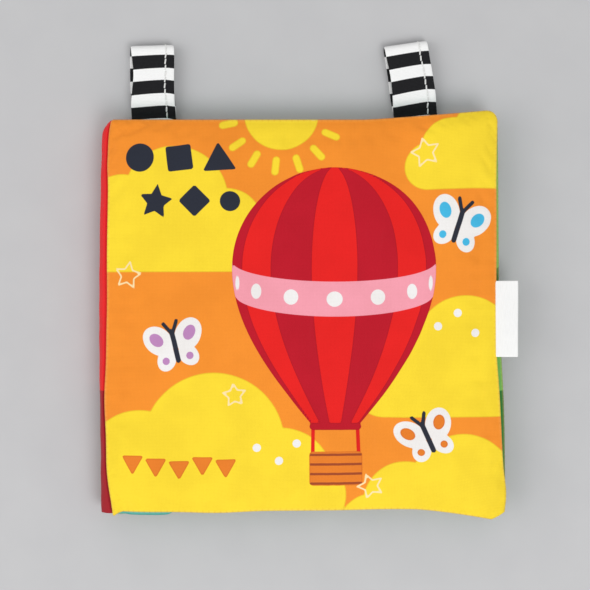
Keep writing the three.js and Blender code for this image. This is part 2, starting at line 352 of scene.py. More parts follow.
def facing_out(points, quads):
    """The same faces, turned round if the volume that they enclose comes out negative."""
    a, b, c, d = (points[quads[:, i]] for i in range(4))
    volume = np.sum(np.cross(a, b) * c) + np.sum(np.cross(a, c) * d)
    return quads if volume > 0 else quads[:, ::-1]


def mesh_piece(name, points, quads, values=None, material=None):
    """A smooth mesh object at the origin. Each entry of values becomes an attribute of its points."""
    mesh = bpy.data.meshes.new(name)
    mesh.from_pydata((points * MM).tolist(), [], facing_out(points, quads).tolist())
    mesh.polygons.foreach_set("use_smooth", np.ones(len(mesh.polygons), dtype=bool))
    for key, value in (values or {}).items():
        vector = value.ndim == 2
        attribute = mesh.attributes.new(key, "FLOAT_VECTOR" if vector else "FLOAT", "POINT")
        attribute.data.foreach_set("vector" if vector else "value", value.astype(np.float32).ravel())
    mesh.update()
    piece = bpy.data.objects.new(name, mesh)
    bpy.context.collection.objects.link(piece)
    if material:
        mesh.materials.append(material)
    return piece


# Leaves


def leaf_plan(sewn_leaf, steps, inset=0.0):
    """Lays a grid on a leaf, rows along Y and columns along X, and gives its flat and its sewn places.

    The grid is the plain rectangle. In each corner's square it is drawn in to an arc by the rule
    x sqrt(1 - y^2/2), y sqrt(1 - x^2/2), or to a straight cut by x (1 - y/2), y (1 - x/2). inside is
    the distance from the leaf's own seam, and lines are the grid's lines as shares of half its size.
    """
    along = crowded(steps)
    reach_x = sewn_leaf.half[0] - inset
    reach_y = sewn_leaf.half[1] - inset
    x, y = np.meshgrid(sewn_leaf.middle[0] + reach_x * along, sewn_leaf.middle[1] + reach_y * along)
    from_side = reach_x - abs(x - sewn_leaf.middle[0])
    from_end = reach_y - abs(y - sewn_leaf.middle[1])
    inside = np.minimum(from_side, from_end)
    for place in sewn_leaf.corners:
        out_x = math.copysign(1, place.x - sewn_leaf.middle[0])
        out_y = math.copysign(1, place.y - sewn_leaf.middle[1])
        radius_x, radius_y = (radius + inset / 2 for radius in place.radius)
        hub_x = place.x - out_x * (inset + radius_x)
        hub_y = place.y - out_y * (inset + radius_y)
        u = out_x * (x - hub_x) / radius_x
        v = out_y * (y - hub_y) / radius_y
        here = (u > 0) & (v > 0)
        u, v = np.clip(u, 0, 1), np.clip(v, 0, 1)
        round_u = u * ((1 - place.cut) * np.sqrt(1 - v * v / 2) + place.cut * (1 - v / 2))
        round_v = v * ((1 - place.cut) * np.sqrt(1 - u * u / 2) + place.cut * (1 - u / 2))
        x = np.where(here, hub_x + out_x * radius_x * round_u, x)
        y = np.where(here, hub_y + out_y * radius_y * round_v, y)
        radius = (radius_x * u + radius_y * v) / np.maximum(u + v, 1e-9)
        inside = np.where(here, radius * (1 - np.sqrt(u * u + v * v - u * u * v * v)), inside)
    sewn_x, sewn_y = sewn_place(sewn_leaf, x, y)
    return SimpleNamespace(x=x, y=y, sewn_x=sewn_x, sewn_y=sewn_y, inside=np.maximum(inside, 0) + inset,
                           along_seam=np.where(from_side < from_end, y, x),
                           lines=[along * reach_x / sewn_leaf.half[0], along * reach_y / sewn_leaf.half[1]])


def sewn_place(sewn_leaf, x, y):
    """Moves the cut cloth to its sewn place: out with the corners, in or out with each side's waves,
    and towards the spine where the spine bows out."""
    new_x, new_y = x.copy(), y.copy()
    for place in sewn_leaf.corners:
        away = np.hypot(x - place.x, y - place.y)
        new_x += place.push[0] * np.maximum(0, 1 - away / place.reach[0]) ** place.fade[0]
        new_y += place.push[1] * np.maximum(0, 1 - away / place.reach[1]) ** place.fade[1]
    for side, at, spread, amount in sewn_leaf.waves:
        edge = getattr(sewn_leaf, side)
        upright = side in ("left", "right")
        near, along = (abs(x - edge), y) if upright else (abs(y - edge), x)
        move = amount * bell(along, at, spread) * np.maximum(0, 1 - near / SIDE_WAVE_REACH)
        if upright:
            new_x += move
        else:
            new_y += move
    across = (sewn_leaf.right - x) / (sewn_leaf.right - sewn_leaf.left)
    new_x -= bow_at(sewn_leaf.bow, y) * across
    return new_x, new_y


def bow_at(bow, y):
    """How far the spine stands out at y: a parabola that is nothing at the ends of the spine."""
    return bow * np.maximum(0, 1 - (2 * y / SPINE_LENGTH) ** 2)


def half_thickness(sewn_leaf, inside):
    """Half a leaf's thickness: over the first EDGE_ROUND the mean of a parabola and its square root,
    which is a quarter ellipse, then a slow crown."""
    bend = 1 - (1 - np.minimum(1, inside / EDGE_ROUND)) ** 2
    rise = (bend + np.sqrt(bend)) / 2
    crown = 1 - (1 - np.minimum(1, inside / min(sewn_leaf.half))) ** 2
    return SEAM_GAP / 2 + PUFF * rise + CROWN * crown


def puckers(sewn_leaf, plan, seed):
    """Small folds that run in from the seams: uneven waves along each side, fading away from it."""
    sides = (
        (plan.x - sewn_leaf.left, plan.y), (sewn_leaf.right - plan.x, plan.y),
        (plan.y - sewn_leaf.bottom, plan.x), (sewn_leaf.top - plan.y, plan.x),
    )
    relief = 0
    for number, (away, along) in enumerate(sides):
        drift = 1.9 * np.sin(along / 11.3 + seed + number) + 1.1 * np.sin(along / 5.1 + 2 * seed)
        fold = np.sin(2 * np.pi * along / PUCKER_PITCH + drift)
        strength = 0.55 + 0.45 * np.sin(along / 17.0 + 3 * number + seed)
        relief = relief + strength * fold * np.exp(-away / PUCKER_REACH)
    return relief * np.minimum(1, plan.inside / 1.2)


def closer_lines(places):
    """Catmull-Rom shares of the settled grid's lines, one row for each place from -1 to 1."""
    index = np.interp(places, crowded(SETTLE_STEPS), np.arange(SETTLE_STEPS + 1))
    first = np.clip(np.floor(index), 0, SETTLE_STEPS - 1).astype(int)
    t = index - first
    shares = np.zeros((len(places), SETTLE_STEPS + 1))
    curves = (-t / 2 + t ** 2 - t ** 3 / 2, 1 - 2.5 * t ** 2 + 1.5 * t ** 3,
              t / 2 + 2 * t ** 2 - 1.5 * t ** 3, (t ** 3 - t ** 2) / 2)
    for offset, curve in enumerate(curves, -1):
        column = np.clip(first + offset, 0, SETTLE_STEPS)
        np.add.at(shares, (np.arange(len(places)), column), curve)
    return shares


def settled(sewn_leaf, plan, side):
    """How far the simulated cloth of one face has moved, on the grid of a plan. A face that lies against
    another leaf moves less than an outer one, and only up and down, so it stays under its seam."""
    if side not in sewn_leaf.moved:
        return 0.0
    over_x, over_y = (closer_lines(places) for places in plan.lines)
    moved = np.einsum("ai,ijk,bj->abk", over_y, sewn_leaf.moved[side], over_x)
    against = sewn_leaf.z + side * LEAF_HALF
    outer = against > FRONT_Z or against < BACK_Z
    moved = moved if outer else moved * np.array([0.0, 0.0, 1.0])
    inner_room = INNER_MOVE + GAP_SHARE * (LEAF_HALF - half_thickness(sewn_leaf, plan.inside))
    inner_room = inner_room * (SEAM_MOVE + (1 - SEAM_MOVE) * smooth(plan.inside, 0, SEAM_HOLD))
    limit = np.broadcast_to(OUTER_MOVE if outer else inner_room, plan.x.shape)[..., None]
    return limit * np.tanh(moved / limit)


def sewn_bag(sewn_leaf, plan, seed):
    """Two coarse faces of a leaf that share the points of their border: the points, the faces, and the
    number of each grid point of both faces."""
    lines = SETTLE_STEPS + 1
    upper = np.arange(lines * lines).reshape(lines, lines)
    lower = upper.copy()
    lower[1:-1, 1:-1] = lines * lines + np.arange((lines - 2) ** 2).reshape(lines - 2, lines - 2)
    numbers = {1: upper, -1: lower}
    grids, faces = {}, []
    for side, index in numbers.items():
        grids[side] = leaf_face(sewn_leaf, plan, side, seed)
        grids[side][..., 2] = np.where(plan.inside < 1e-6, sewn_leaf.z, grids[side][..., 2])
        quads = np.stack([index[:-1, :-1], index[:-1, 1:], index[1:, 1:], index[1:, :-1]], axis=-1)
        faces.append(quads.reshape(-1, 4)[:, ::side])
    points = np.concatenate([grids[1].reshape(-1, 3), grids[-1][1:-1, 1:-1].reshape(-1, 3)])
    return points, np.concatenate(faces), numbers


def swell_cloth(sewn_leaf, seed):
    """Sews a leaf's two faces into a bag, fills it with pressure as its wadding does, and keeps how far
    each point moves. The cloth is a little larger than its seam, so it folds. The bag is worked out ten
    times too large, which suits the solver."""
    points, faces, numbers = sewn_bag(sewn_leaf, leaf_plan(sewn_leaf, SETTLE_STEPS), seed)
    bag = mesh_piece("swelling_bag", points * SETTLE_SCALE, faces)
    sewn = bag.vertex_groups.new(name="sewn")
    on_border = np.zeros(len(points), dtype=bool)
    on_border[grid_border(SETTLE_STEPS + 1, SETTLE_STEPS + 1)] = True
    sewn.add(np.flatnonzero(on_border).tolist(), 1.0, "REPLACE")
    sewn.add(np.flatnonzero(~on_border).tolist(), FILLING_HOLD, "REPLACE")
    cloth = bag.modifiers.new("swelling", "CLOTH")
    for key, value in CLOTH_SETTINGS.items():
        setattr(cloth.settings, key, value)
    cloth.settings.effector_weights.gravity = 0
    cloth.collision_settings.use_collision = False
    cloth.point_cache.frame_start = 1
    cloth.point_cache.frame_end = SETTLE_FRAMES
    scene = bpy.context.scene
    for step in range(1, SETTLE_FRAMES + 1):
        scene.frame_set(step)
    now = bag.evaluated_get(bpy.context.evaluated_depsgraph_get()).data
    places = np.empty(len(points) * 3, dtype=np.float32)
    now.vertices.foreach_get("co", places)
    moved = places.reshape(-1, 3) / (SETTLE_SCALE * MM) - points
    mesh = bag.data
    bpy.data.objects.remove(bag)
    bpy.data.meshes.remove(mesh)
    scene.frame_set(1)
    sewn_leaf.moved = {side: moved[index] for side, index in numbers.items()}


def leaf_face(sewn_leaf, plan, side, seed, wave=0.0):
    """One face of a leaf as a grid of points: side is 1 for the upper face and -1 for the lower one.

    Height = the middle of the leaf, plus half its thickness, plus the puckers, plus broad waves. A face
    that would pass below the ground is pressed flat on it.
    """
    lift = half_thickness(sewn_leaf, plan.inside) + PUCKER_DEPTH * puckers(sewn_leaf, plan, seed)
    soft = smooth(plan.inside, 0, STILL_EDGE)
    lift = lift + wave * soft * swell(plan.x, plan.y, BROAD_WAVE, seed)
    lift = lift + SMALL_WAVE_SHARE * wave * soft * swell(plan.x, plan.y, SMALL_WAVE, seed + 7)
    face = np.stack([plan.sewn_x, plan.sewn_y, sewn_leaf.z + side * lift], axis=-1)
    face = face + settled(sewn_leaf, plan, side)
    for edge, at, spread, amount in sewn_leaf.bags if side < 0 else ():
        upright = edge in ("left", "right")
        near, along = (plan.x, plan.y) if upright else (plan.y, plan.x)
        near = abs(near - getattr(sewn_leaf, edge))
        sag = smooth(near, 0, BAG_DEPTH) * (1 - smooth(near, BAG_DEPTH, 6 * BAG_DEPTH))
        face[..., 0 if upright else 1] += amount * sag * bell(along, at, spread, 8)
    face[..., 2] = np.maximum(face[..., 2], CLEAR_OF_GROUND)
    return face


def layered(values):
    """Attribute values for a shell, whose inner grid repeats its outer one."""
    return {key: np.concatenate([value, value]) for key, value in values.items()}


def panel(cloth):
    """A printed panel of cloth: one face of a leaf with the thickness of its fabric.

    Its attributes are the place on the cut cloth, the distance from the seam and the place along it,
    and for each printed colour the distance from the edge of that colour, which is negative inside.
    """
    sewn_leaf = cloth.leaf
    plan = leaf_plan(sewn_leaf, cloth.steps)
    face = leaf_face(sewn_leaf, plan, cloth.side, cloth.seed, cloth.wave)
    page_x = cloth.side * (plan.x - sewn_leaf.middle[0])
    page_y = plan.y - sewn_leaf.middle[1]
    values = {"seam": plan.inside.ravel(), "along_seam": plan.along_seam.ravel()}
    values["cloth"] = np.stack([page_x, page_y, 0 * page_x], axis=-1).reshape(-1, 3)
    for colour, distance in cloth.design(page_x, page_y).items():
        values[colour] = distance.ravel()
    if cloth.side < 0:
        face, values = turned_over(face, values)
    points, quads = shell(face, FABRIC)
    piece = mesh_piece(cloth.name, points, quads, layered(values), MATERIALS[cloth.finish])
    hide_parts(cloth.node)
    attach(piece, sewn_leaf.body)


# Printed designs, drawn as distances from the edge of each colour, negative inside


TRIANGLE_ROUND = 0.6


def disc(x, y, at_x, at_y, radius):
    """Distance from a circle."""
    return np.hypot(x - at_x, y - at_y) - radius


def turned(x, y, at_x, at_y, degrees):
    """Places measured from a centre, along axes turned by that angle."""
    angle = math.radians(degrees)
    u, v = x - at_x, y - at_y
    return u * math.cos(angle) + v * math.sin(angle), v * math.cos(angle) - u * math.sin(angle)


def oval(x, y, at_x, at_y, half_x, half_y, degrees=0):
    """Near distance from an ellipse: how far its scaled radius is from 1, times its smaller half."""
    u, v = turned(x, y, at_x, at_y, degrees)
    return (np.hypot(u / half_x, v / half_y) - 1) * min(half_x, half_y)


def bar(x, y, start, end, radius, end_radius=None):
    """Distance from a line with round ends, whose radius may change evenly along it."""
    run_x, run_y = end[0] - start[0], end[1] - start[1]
    share = ((x - start[0]) * run_x + (y - start[1]) * run_y) / (run_x ** 2 + run_y ** 2)
    share = np.clip(share, 0, 1)
    last = radius if end_radius is None else end_radius
    away = np.hypot(x - start[0] - share * run_x, y - start[1] - share * run_y)
    return away - (radius + (last - radius) * share)


def block(x, y, at_x, at_y, half_x, half_y, degrees=0, radius=1.0):
    """Distance from a rectangle with rounded corners."""
    u, v = turned(x, y, at_x, at_y, degrees)
    out_x = abs(u) - half_x + radius
    out_y = abs(v) - half_y + radius
    outside = np.hypot(np.maximum(out_x, 0), np.maximum(out_y, 0))
    return outside + np.minimum(np.maximum(out_x, out_y), 0) - radius


def outline(x, y, corners):
    """Distance from a polygon: the nearest of its edges, with the sign from how often a ray crosses."""
    nearest = np.full_like(x, 1e9)
    inside = np.zeros(x.shape, dtype=bool)
    for (ax, ay), (bx, by) in zip(corners, corners[1:] + corners[:1]):
        nearest = np.minimum(nearest, bar(x, y, (ax, ay), (bx, by), 0))
        crosses = (ay > y) != (by > y)
        level = by - ay if by != ay else 1e-9
        inside ^= crosses & (x < (bx - ax) * (y - ay) / level + ax)
    return np.where(inside, -nearest, nearest)


def around(at_x, at_y, reaches, count, degrees):
    """Corners round a centre at even angles, the first one on top, with the reaches in turn."""
    corners = []
    for number in range(count):
        angle = math.radians(degrees + 90 + 360 * number / count)
        reach = reaches[number % len(reaches)]
        corners.append((at_x + reach * math.cos(angle), at_y + reach * math.sin(angle)))
    return corners


def spiky(x, y, at_x, at_y, radius, degrees=0):
    """A star with five points: its corners lie on two circles in turn."""
    return outline(x, y, around(at_x, at_y, (radius, radius / 2), 10, degrees))


def triangle(x, y, at_x, at_y, radius, degrees=0):
    """A triangle with slightly rounded corners."""
    return outline(x, y, around(at_x, at_y, (radius,), 3, degrees)) - TRIANGLE_ROUND


def joined(*shapes):
    """All of the shapes together."""
    return np.minimum.reduce(shapes)


def within(shape, *others):
    """Only what lies in every one of the shapes."""
    return np.maximum.reduce((shape,) + others)


def cloud(x, y, at_x, at_y, size):
    """A cloud: three discs on a bar with round ends."""
    return joined(
        bar(x, y, (at_x - 1.25 * size, at_y), (at_x + 1.25 * size, at_y), 0.52 * size),
        disc(x, y, at_x - 0.72 * size, at_y + 0.38 * size, 0.68 * size),
        disc(x, y, at_x + 0.18 * size, at_y + 0.66 * size, 0.86 * size),
        disc(x, y, at_x + 1.02 * size, at_y + 0.26 * size, 0.58 * size),
    )


def butterfly(x, y, at_x, at_y, size, degrees):
    """A butterfly's wings, spots and body. Each half is an upper and a lower oval."""
    u, v = turned(x, y, at_x, at_y, degrees)
    u = abs(u)
    wings = joined(
        oval(u, v, 0.45 * size, 0.26 * size, 0.38 * size, 0.50 * size, -38),
        oval(u, v, 0.33 * size, -0.33 * size, 0.27 * size, 0.34 * size, 35),
    )
    spots = joined(
        oval(u, v, 0.50 * size, 0.30 * size, 0.17 * size, 0.23 * size, -38),
        disc(u, v, 0.36 * size, -0.36 * size, 0.11 * size),
    )
    feelers = bar(u, v, (0.02 * size, 0.4 * size), (0.2 * size, 0.72 * size), 0.055 * size)
    body = joined(bar(u, v, (0, -0.42 * size), (0, 0.36 * size), 0.075 * size), feelers)
    return wings, spots, body


def balloon(x, y, at_x, at_y, radius):
    """A hot-air balloon: a round top that narrows to its mouth as a cosine, in seven gores."""
    mouth = 0.21 * radius
    drop = 1.55 * radius
    share = np.clip((at_y - y) / drop, 0, 1)
    lower = mouth + (radius - mouth) * np.cos(share * np.pi / 2)
    upper = np.sqrt(np.maximum(radius ** 2 - np.maximum(y - at_y, 0) ** 2, 1))
    width = np.where(y > at_y, upper, lower)
    bag = np.where(y > at_y, disc(x, y, at_x, at_y, radius), (abs(x - at_x) - lower) * 0.86)
    bag = within(bag, at_y - drop - y)
    across = abs(x - at_x) / width
    first, second, third = (math.sin(math.radians(90 * part / 7)) for part in (1, 3, 5))
    gores = joined(np.maximum(first - across, across - second), third - across) * width
    level = at_y - 0.1 * radius - 0.2 * radius * np.sqrt(np.maximum(1 - across ** 2, 0))
    band = within(bag, abs(y - level) - 0.17 * radius)
    dots = []
    for step in range(-3, 4):
        turn = math.radians(26 * step)
        dot_x = at_x + 0.97 * radius * math.sin(turn)
        dot_y = at_y - 0.1 * radius - 0.2 * radius * math.cos(turn)
        dots.append(oval(x, y, dot_x, dot_y, 0.075 * radius * math.cos(turn) + 0.2, 0.075 * radius))
    mouth_y = at_y - drop
    collar = bar(x, y, (at_x - mouth, mouth_y), (at_x + mouth, mouth_y), 0.035 * radius)
    basket_y = mouth_y - 0.42 * radius
    ropes = joined(*(bar(x, y, (at_x + side * mouth, mouth_y),
                         (at_x + side * 0.22 * radius, basket_y), 0.8) for side in (-1, 1)))
    basket = block(x, y, at_x, basket_y, 0.25 * radius, 0.17 * radius, radius=1.6)
    weave = within(basket, abs((y - basket_y - 0.09 * radius) % 4.4 - 2.2) - 0.55)
    return SimpleNamespace(bag=bag, gores=within(bag, gores), band=band, dots=within(joined(*dots), bag),
                           collar=collar, ropes=ropes, basket=basket, weave=weave)


def sun(x, y, at_x, at_y, radius):
    """A sun: a disc with a short ray every 24 degrees."""
    rays = []
    for number in range(15):
        angle = math.radians(24 * number)
        start, end = ((at_x + reach * radius * math.cos(angle), at_y + reach * radius * math.sin(angle))
                      for reach in (1.28, 1.6))
        rays.append(bar(x, y, start, end, 0.1 * radius))
    return joined(disc(x, y, at_x, at_y, radius), *rays)


def front_design(x, y):
    """Yellow clouds and a sun, a red balloon, three butterflies and a handful of simple shapes."""
    ship = balloon(x, y, 15, 21, 46)
    plum_wings, plum_spots, plum_body = butterfly(x, y, -57, -14, 15.5, 14)
    blue_wings, blue_spots, blue_body = butterfly(x, y, 71, 40, 15.5, -18)
    gold_wings, gold_spots, gold_body = butterfly(x, y, 55, -55, 15, 22)
    shapes = joined(
        disc(x, y, -73, 71, 6.4), block(x, y, -55, 71, 5.8, 5.8, 8), triangle(x, y, -37, 70, 7.6, 4),
        spiky(x, y, -66, 51, 8.2, degrees=-8), block(x, y, -48, 51.5, 5.2, 5.2, 45),
        disc(x, y, -32, 51.5, 4.6),
    )
    specks = joined(*(disc(x, y, *place, 1.9) for place in
                      ((-20, -60), (-10, -66), (-2, -58), (8, -66), (79, -8), (71, 1), (62, -5))))
    bunting = joined(*(triangle(x, y, -76 + 10.5 * step, -66 - 1.2 * step % 3, 4.6, 180)
                       for step in range(5)))
    stars = joined(spiky(x, y, 56, 72, 6.6, degrees=12), spiky(x, y, -79, 18, 6.2, degrees=-10),
                   spiky(x, y, 30, -78, 5.8, degrees=20), spiky(x, y, -30, -36, 5.4, degrees=6))
    clouds = joined(cloud(x, y, -62, 34, 28), cloud(x, y, 70, -32, 27), cloud(x, y, -46, -82, 37),
                    cloud(x, y, 66, -96, 28), cloud(x, y, 82, 66, 20))
    return {
        "yellow": joined(clouds, sun(x, y, -9, 92, 17)), "red": joined(ship.bag, ship.ropes),
        "crimson": joined(ship.gores, ship.collar),
        "pink": ship.band, "white": joined(ship.dots, plum_wings, blue_wings, gold_wings, specks),
        "amber": joined(ship.basket, gold_spots, bunting), "brown": ship.weave, "blue": blue_spots,
        "lilac": plum_spots, "slate": joined(shapes, plum_body, blue_body, gold_body),
        "cream_lines": stars,
    }


def back_design(x, y):
    """Yellow clouds and hills with a few white stars, on the same orange as the front."""
    clouds = joined(cloud(x, y, -48, 44, 24), cloud(x, y, 52, 10, 20), cloud(x, y, 0, 98, 20))
    hills = joined(disc(x, y, -60, -130, 92), disc(x, y, 66, -150, 104))
    stars = joined(spiky(x, y, 20, 62, 9, degrees=10), spiky(x, y, -60, -4, 7, degrees=-14),
                   spiky(x, y, 64, 48, 6), spiky(x, y, -12, 8, 6, degrees=20))
    kite = outline(x, y, [(4, -14), (22, -34), (4, -66), (-14, -34)])
    half_kite = within(kite, x - 4)
    return {"yellow": joined(clouds, hills), "white": stars, "red": kite, "crimson": half_kite}


def sea_design(x, y):
    """A teal sea with lighter waves, a sailing boat, a yellow sun and two clouds."""
    waves = joined(*(abs(y + 30 + 15 * step - 2.6 * np.sin(x / 7 + step)) - 1.6 for step in range(4)))
    ripple = 1.6 * np.sin(x / 6)
    sea = y + 22 - ripple
    sky = -22 - ripple - y
    hull = within(disc(x, y, 0, -6, 34), y + 18)
    sails = joined(outline(x, y, [(2, -14), (2, 46), (34, -14)]),
                   outline(x, y, [(-3, -14), (-3, 34), (-26, -14)]))
    mast = bar(x, y, (-0.5, -20), (-0.5, 50), 1.3)
    return {
        "sky": sky, "yellow": disc(x, y, 58, 56, 20),
        "white": joined(cloud(x, y, -54, 54, 15), cloud(x, y, 46, 24, 11), sails),
        "slate": mast, "red": hull, "teal": within(sea, -1 - hull), "foam": within(waves, sea),
    }


def meadow_design(x, y):
    """A green meadow with darker bushes, a pond, a tree and flowers."""
    bushes = joined(disc(x, y, 92, -64, 30), disc(x, y, 60, -92, 26), disc(x, y, 94, 17, 7))
    pond = oval(x, y, -62, -84, 34, 22)
    bank = oval(x, y, -60, -84, 38, 25)
    trunk = bar(x, y, (-30, -34), (-34, 24), 5.5, 4)
    crown = joined(disc(x, y, -46, 34, 20), disc(x, y, -18, 36, 19), disc(x, y, -32, 56, 20))
    flowers = ((30, -20), (54, 8), (66, -26))
    heads = joined(*(disc(x, y, *place, 8) for place in flowers))
    stems = joined(*(bar(x, y, (place[0], -70), place, 1.3) for place in flowers))
    hearts = joined(*(disc(x, y, *place, 3.4) for place in flowers))
    return {"forest": joined(bushes, crown, stems), "brown": joined(trunk, bank), "teal": pond,
            "white": heads, "amber": hearts, "yellow": disc(x, y, 50, 62, 17),
            "red": joined(disc(x, y, -46, 40, 4), disc(x, y, -22, 30, 4), disc(x, y, -28, 58, 4))}


def shapes_design(x, y):
    """Big plain shapes in two rows on mint green."""
    return {"red": disc(x, y, -42, 40, 27), "blue": block(x, y, 42, 40, 24, 24, radius=5),
            "forest": triangle(x, y, -42, -44, 31), "amber": spiky(x, y, 42, -42, 33),
            "white": joined(disc(x, y, -42, 40, 13), block(x, y, 42, 40, 11, 11, radius=3),
                            triangle(x, y, -42, -46, 13), spiky(x, y, 42, -42, 15))}


def garden_design(x, y):
    """Three big flowers on rolling green, under a paler sky."""
    ground = y + 34 - 7 * np.sin(x / 27)
    near_ground = y + 58 - 6 * np.sin(x / 21 + 2)
    places = ((-50, 10, 6), (4, 34, 5), (54, 4, 7))
    petals, middles, stems = [], [], []
    for place_x, place_y, count in places:
        stems.append(bar(x, y, (place_x, -60), (place_x, place_y), 1.8))
        middles.append(disc(x, y, place_x, place_y, 7))
        for number in range(count):
            angle = 2 * math.pi * number / count
            petals.append(oval(x, y, place_x + 13 * math.cos(angle), place_y + 13 * math.sin(angle),
                               9.5, 6.2, math.degrees(angle)))
    return {"sky": -ground, "forest": joined(near_ground, *stems), "white": joined(*petals),
            "lilac": middles[0], "blue": middles[1], "amber": middles[2], "yellow": disc(x, y, 60, 62, 15)}


# Materials


def linear(red, green, blue):
    """A screen colour of three numbers from 0 to 255 as linear light."""
    def one(part):
        part = part / 255
        return part / 12.92 if part <= 0.04045 else ((part + 0.055) / 1.055) ** 2.4
    return (one(red), one(green), one(blue), 1.0)


INKS = {
    "orange": linear(246, 146, 46), "yellow": linear(251, 220, 52), "red": linear(232, 32, 30),
    "crimson": linear(190, 20, 40), "pink": linear(245, 160, 176), "white": linear(241, 239, 238),
    "amber": linear(233, 128, 42), "brown": linear(160, 74, 40), "blue": linear(70, 186, 230),
    "lilac": linear(190, 136, 190), "slate": linear(42, 46, 58), "cream_lines": linear(253, 230, 176),
    "green": linear(122, 190, 92), "forest": linear(56, 128, 60), "teal": linear(88, 186, 176),
    "sky": linear(150, 214, 226), "foam": linear(176, 224, 218), "page_teal": linear(96, 192, 186),
    "mint": linear(132, 204, 150),
}
DYES = {
    "spine_red": linear(233, 31, 35), "spine_crimson": linear(165, 24, 36),
    # the strap's thread colours are painted highlights on the crowns of its threads
    "strap_black": linear(7, 7, 9), "strap_black_thread": linear(42, 42, 46),
    "strap_white": linear(240, 240, 239), "strap_white_thread": linear(255, 255, 255),
    "ribbon_dull": linear(236, 236, 235), "ribbon_bright": linear(242, 242, 241),
    "sewing_thread": linear(246, 246, 244),
    # the wadding's two colours are painted shade and painted light on one white fibre
    "wadding_deep": linear(206, 206, 202), "wadding_top": linear(248, 248, 245),
    "film_dark": linear(196, 202, 208), "film_light": linear(230, 234, 238),
    "floor_dark": linear(188, 188, 190), "floor_light": linear(196, 196, 197),
}
COVERING_INKS = ("yellow", "red", "crimson", "amber")  # a darker line shows where these overlap others
WEAVE_PITCH = 0.62  # from one thread of the printed cloth to the next
STRAP_THREAD = 0.42  # the same across a strap
LINE_HALF = 0.34
PRINT_SOFTNESS = 0.16
INK_OVERLAP = 0.4


class Tree:
    """Short calls for the nodes of one tree. An input takes a socket or a plain value."""

    def __init__(self, tree):
        self.tree = tree

    def put(self, socket, value):
        """Links a socket into an input, or sets the input's own value."""
        if isinstance(value, bpy.types.NodeSocket):
            self.tree.links.new(value, socket)
        elif value is not None:
            socket.default_value = value

    def add(self, kind, inputs=None, **settings):
        """A node with these settings and inputs."""
        node = self.tree.nodes.new(kind)
        for key, value in settings.items():
            setattr(node, key, value)
        for key, value in (inputs or {}).items():
            self.put(node.inputs[key], value)
        return node

    def math(self, operation, first, second=None, third=None):
        """One sum of up to three values."""
        node = self.add("ShaderNodeMath", operation=operation)
        for socket, value in zip(node.inputs, (first, second, third)):
            self.put(socket, value)
        return node.outputs[0]

    def mix(self, share, under, over, blend="MIX"):
        """One colour over another, as far as the share says."""
        node = self.add("ShaderNodeMix", data_type="RGBA", blend_type=blend)
        for socket, value in zip((node.inputs[0], node.inputs[6], node.inputs[7]), (share, under, over)):
            self.put(socket, value)
        return node.outputs[2]

    def tinted(self, colour, tint):
        """A colour multiplied by a tint."""
        return self.mix(1.0, colour, tint + (1.0,), "MULTIPLY")

    def span(self, value, from_low, from_high, to_low=0.0, to_high=1.0):
        """Eases a value from one range into another."""
        node = self.add("ShaderNodeMapRange", interpolation_type="SMOOTHSTEP")
        for socket, part in zip(node.inputs, (value, from_low, from_high, to_low, to_high)):
            self.put(socket, part)
        return node.outputs[0]

    def noise(self, place, scale, detail=3.0, roughness=0.5):
        """Cloudy noise from 0 to 1."""
        node = self.add("ShaderNodeTexNoise",
                        {"Vector": place, "Scale": scale, "Detail": detail, "Roughness": roughness})
        return node.outputs["Fac"]

    def scaled(self, place, amounts):
        """A place stretched along each axis."""
        node = self.add("ShaderNodeVectorMath", operation="MULTIPLY")
        self.put(node.inputs[0], place)
        self.put(node.inputs[1], amounts)
        return node.outputs[0]

    def parts(self, place):
        """The X and the Y of a place."""
        node = self.add("ShaderNodeSeparateXYZ", {"Vector": place})
        return node.outputs["X"], node.outputs["Y"]

    def attribute(self, name, vector=False):
        """What one of the piece's attributes says at each point."""
        node = self.add("ShaderNodeAttribute", attribute_name=name)
        return node.outputs["Vector" if vector else "Fac"]

    def group(self, tree, **inputs):
        """A node group with its inputs by name, where an underscore stands for a space."""
        node = self.add("ShaderNodeGroup", node_tree=tree)
        for key, value in inputs.items():
            self.put(node.inputs[key.replace("_", " ")], value)
        return node


def new_group(name, inputs, outputs):
    """A shader node group with named number or vector inputs and number outputs."""
    group = bpy.data.node_groups.new(name, "ShaderNodeTree")
    for key, value in inputs.items():
        kind = "NodeSocketVector" if value is None else "NodeSocketFloat"
        socket = group.interface.new_socket(name=key, in_out="INPUT", socket_type=kind)
        if value is not None:
            socket.default_value = value
    for key in outputs:
        group.interface.new_socket(name=key, in_out="OUTPUT", socket_type="NodeSocketFloat")
    tree = Tree(group)
    return group, tree, tree.add("NodeGroupInput"), tree.add("NodeGroupOutput")


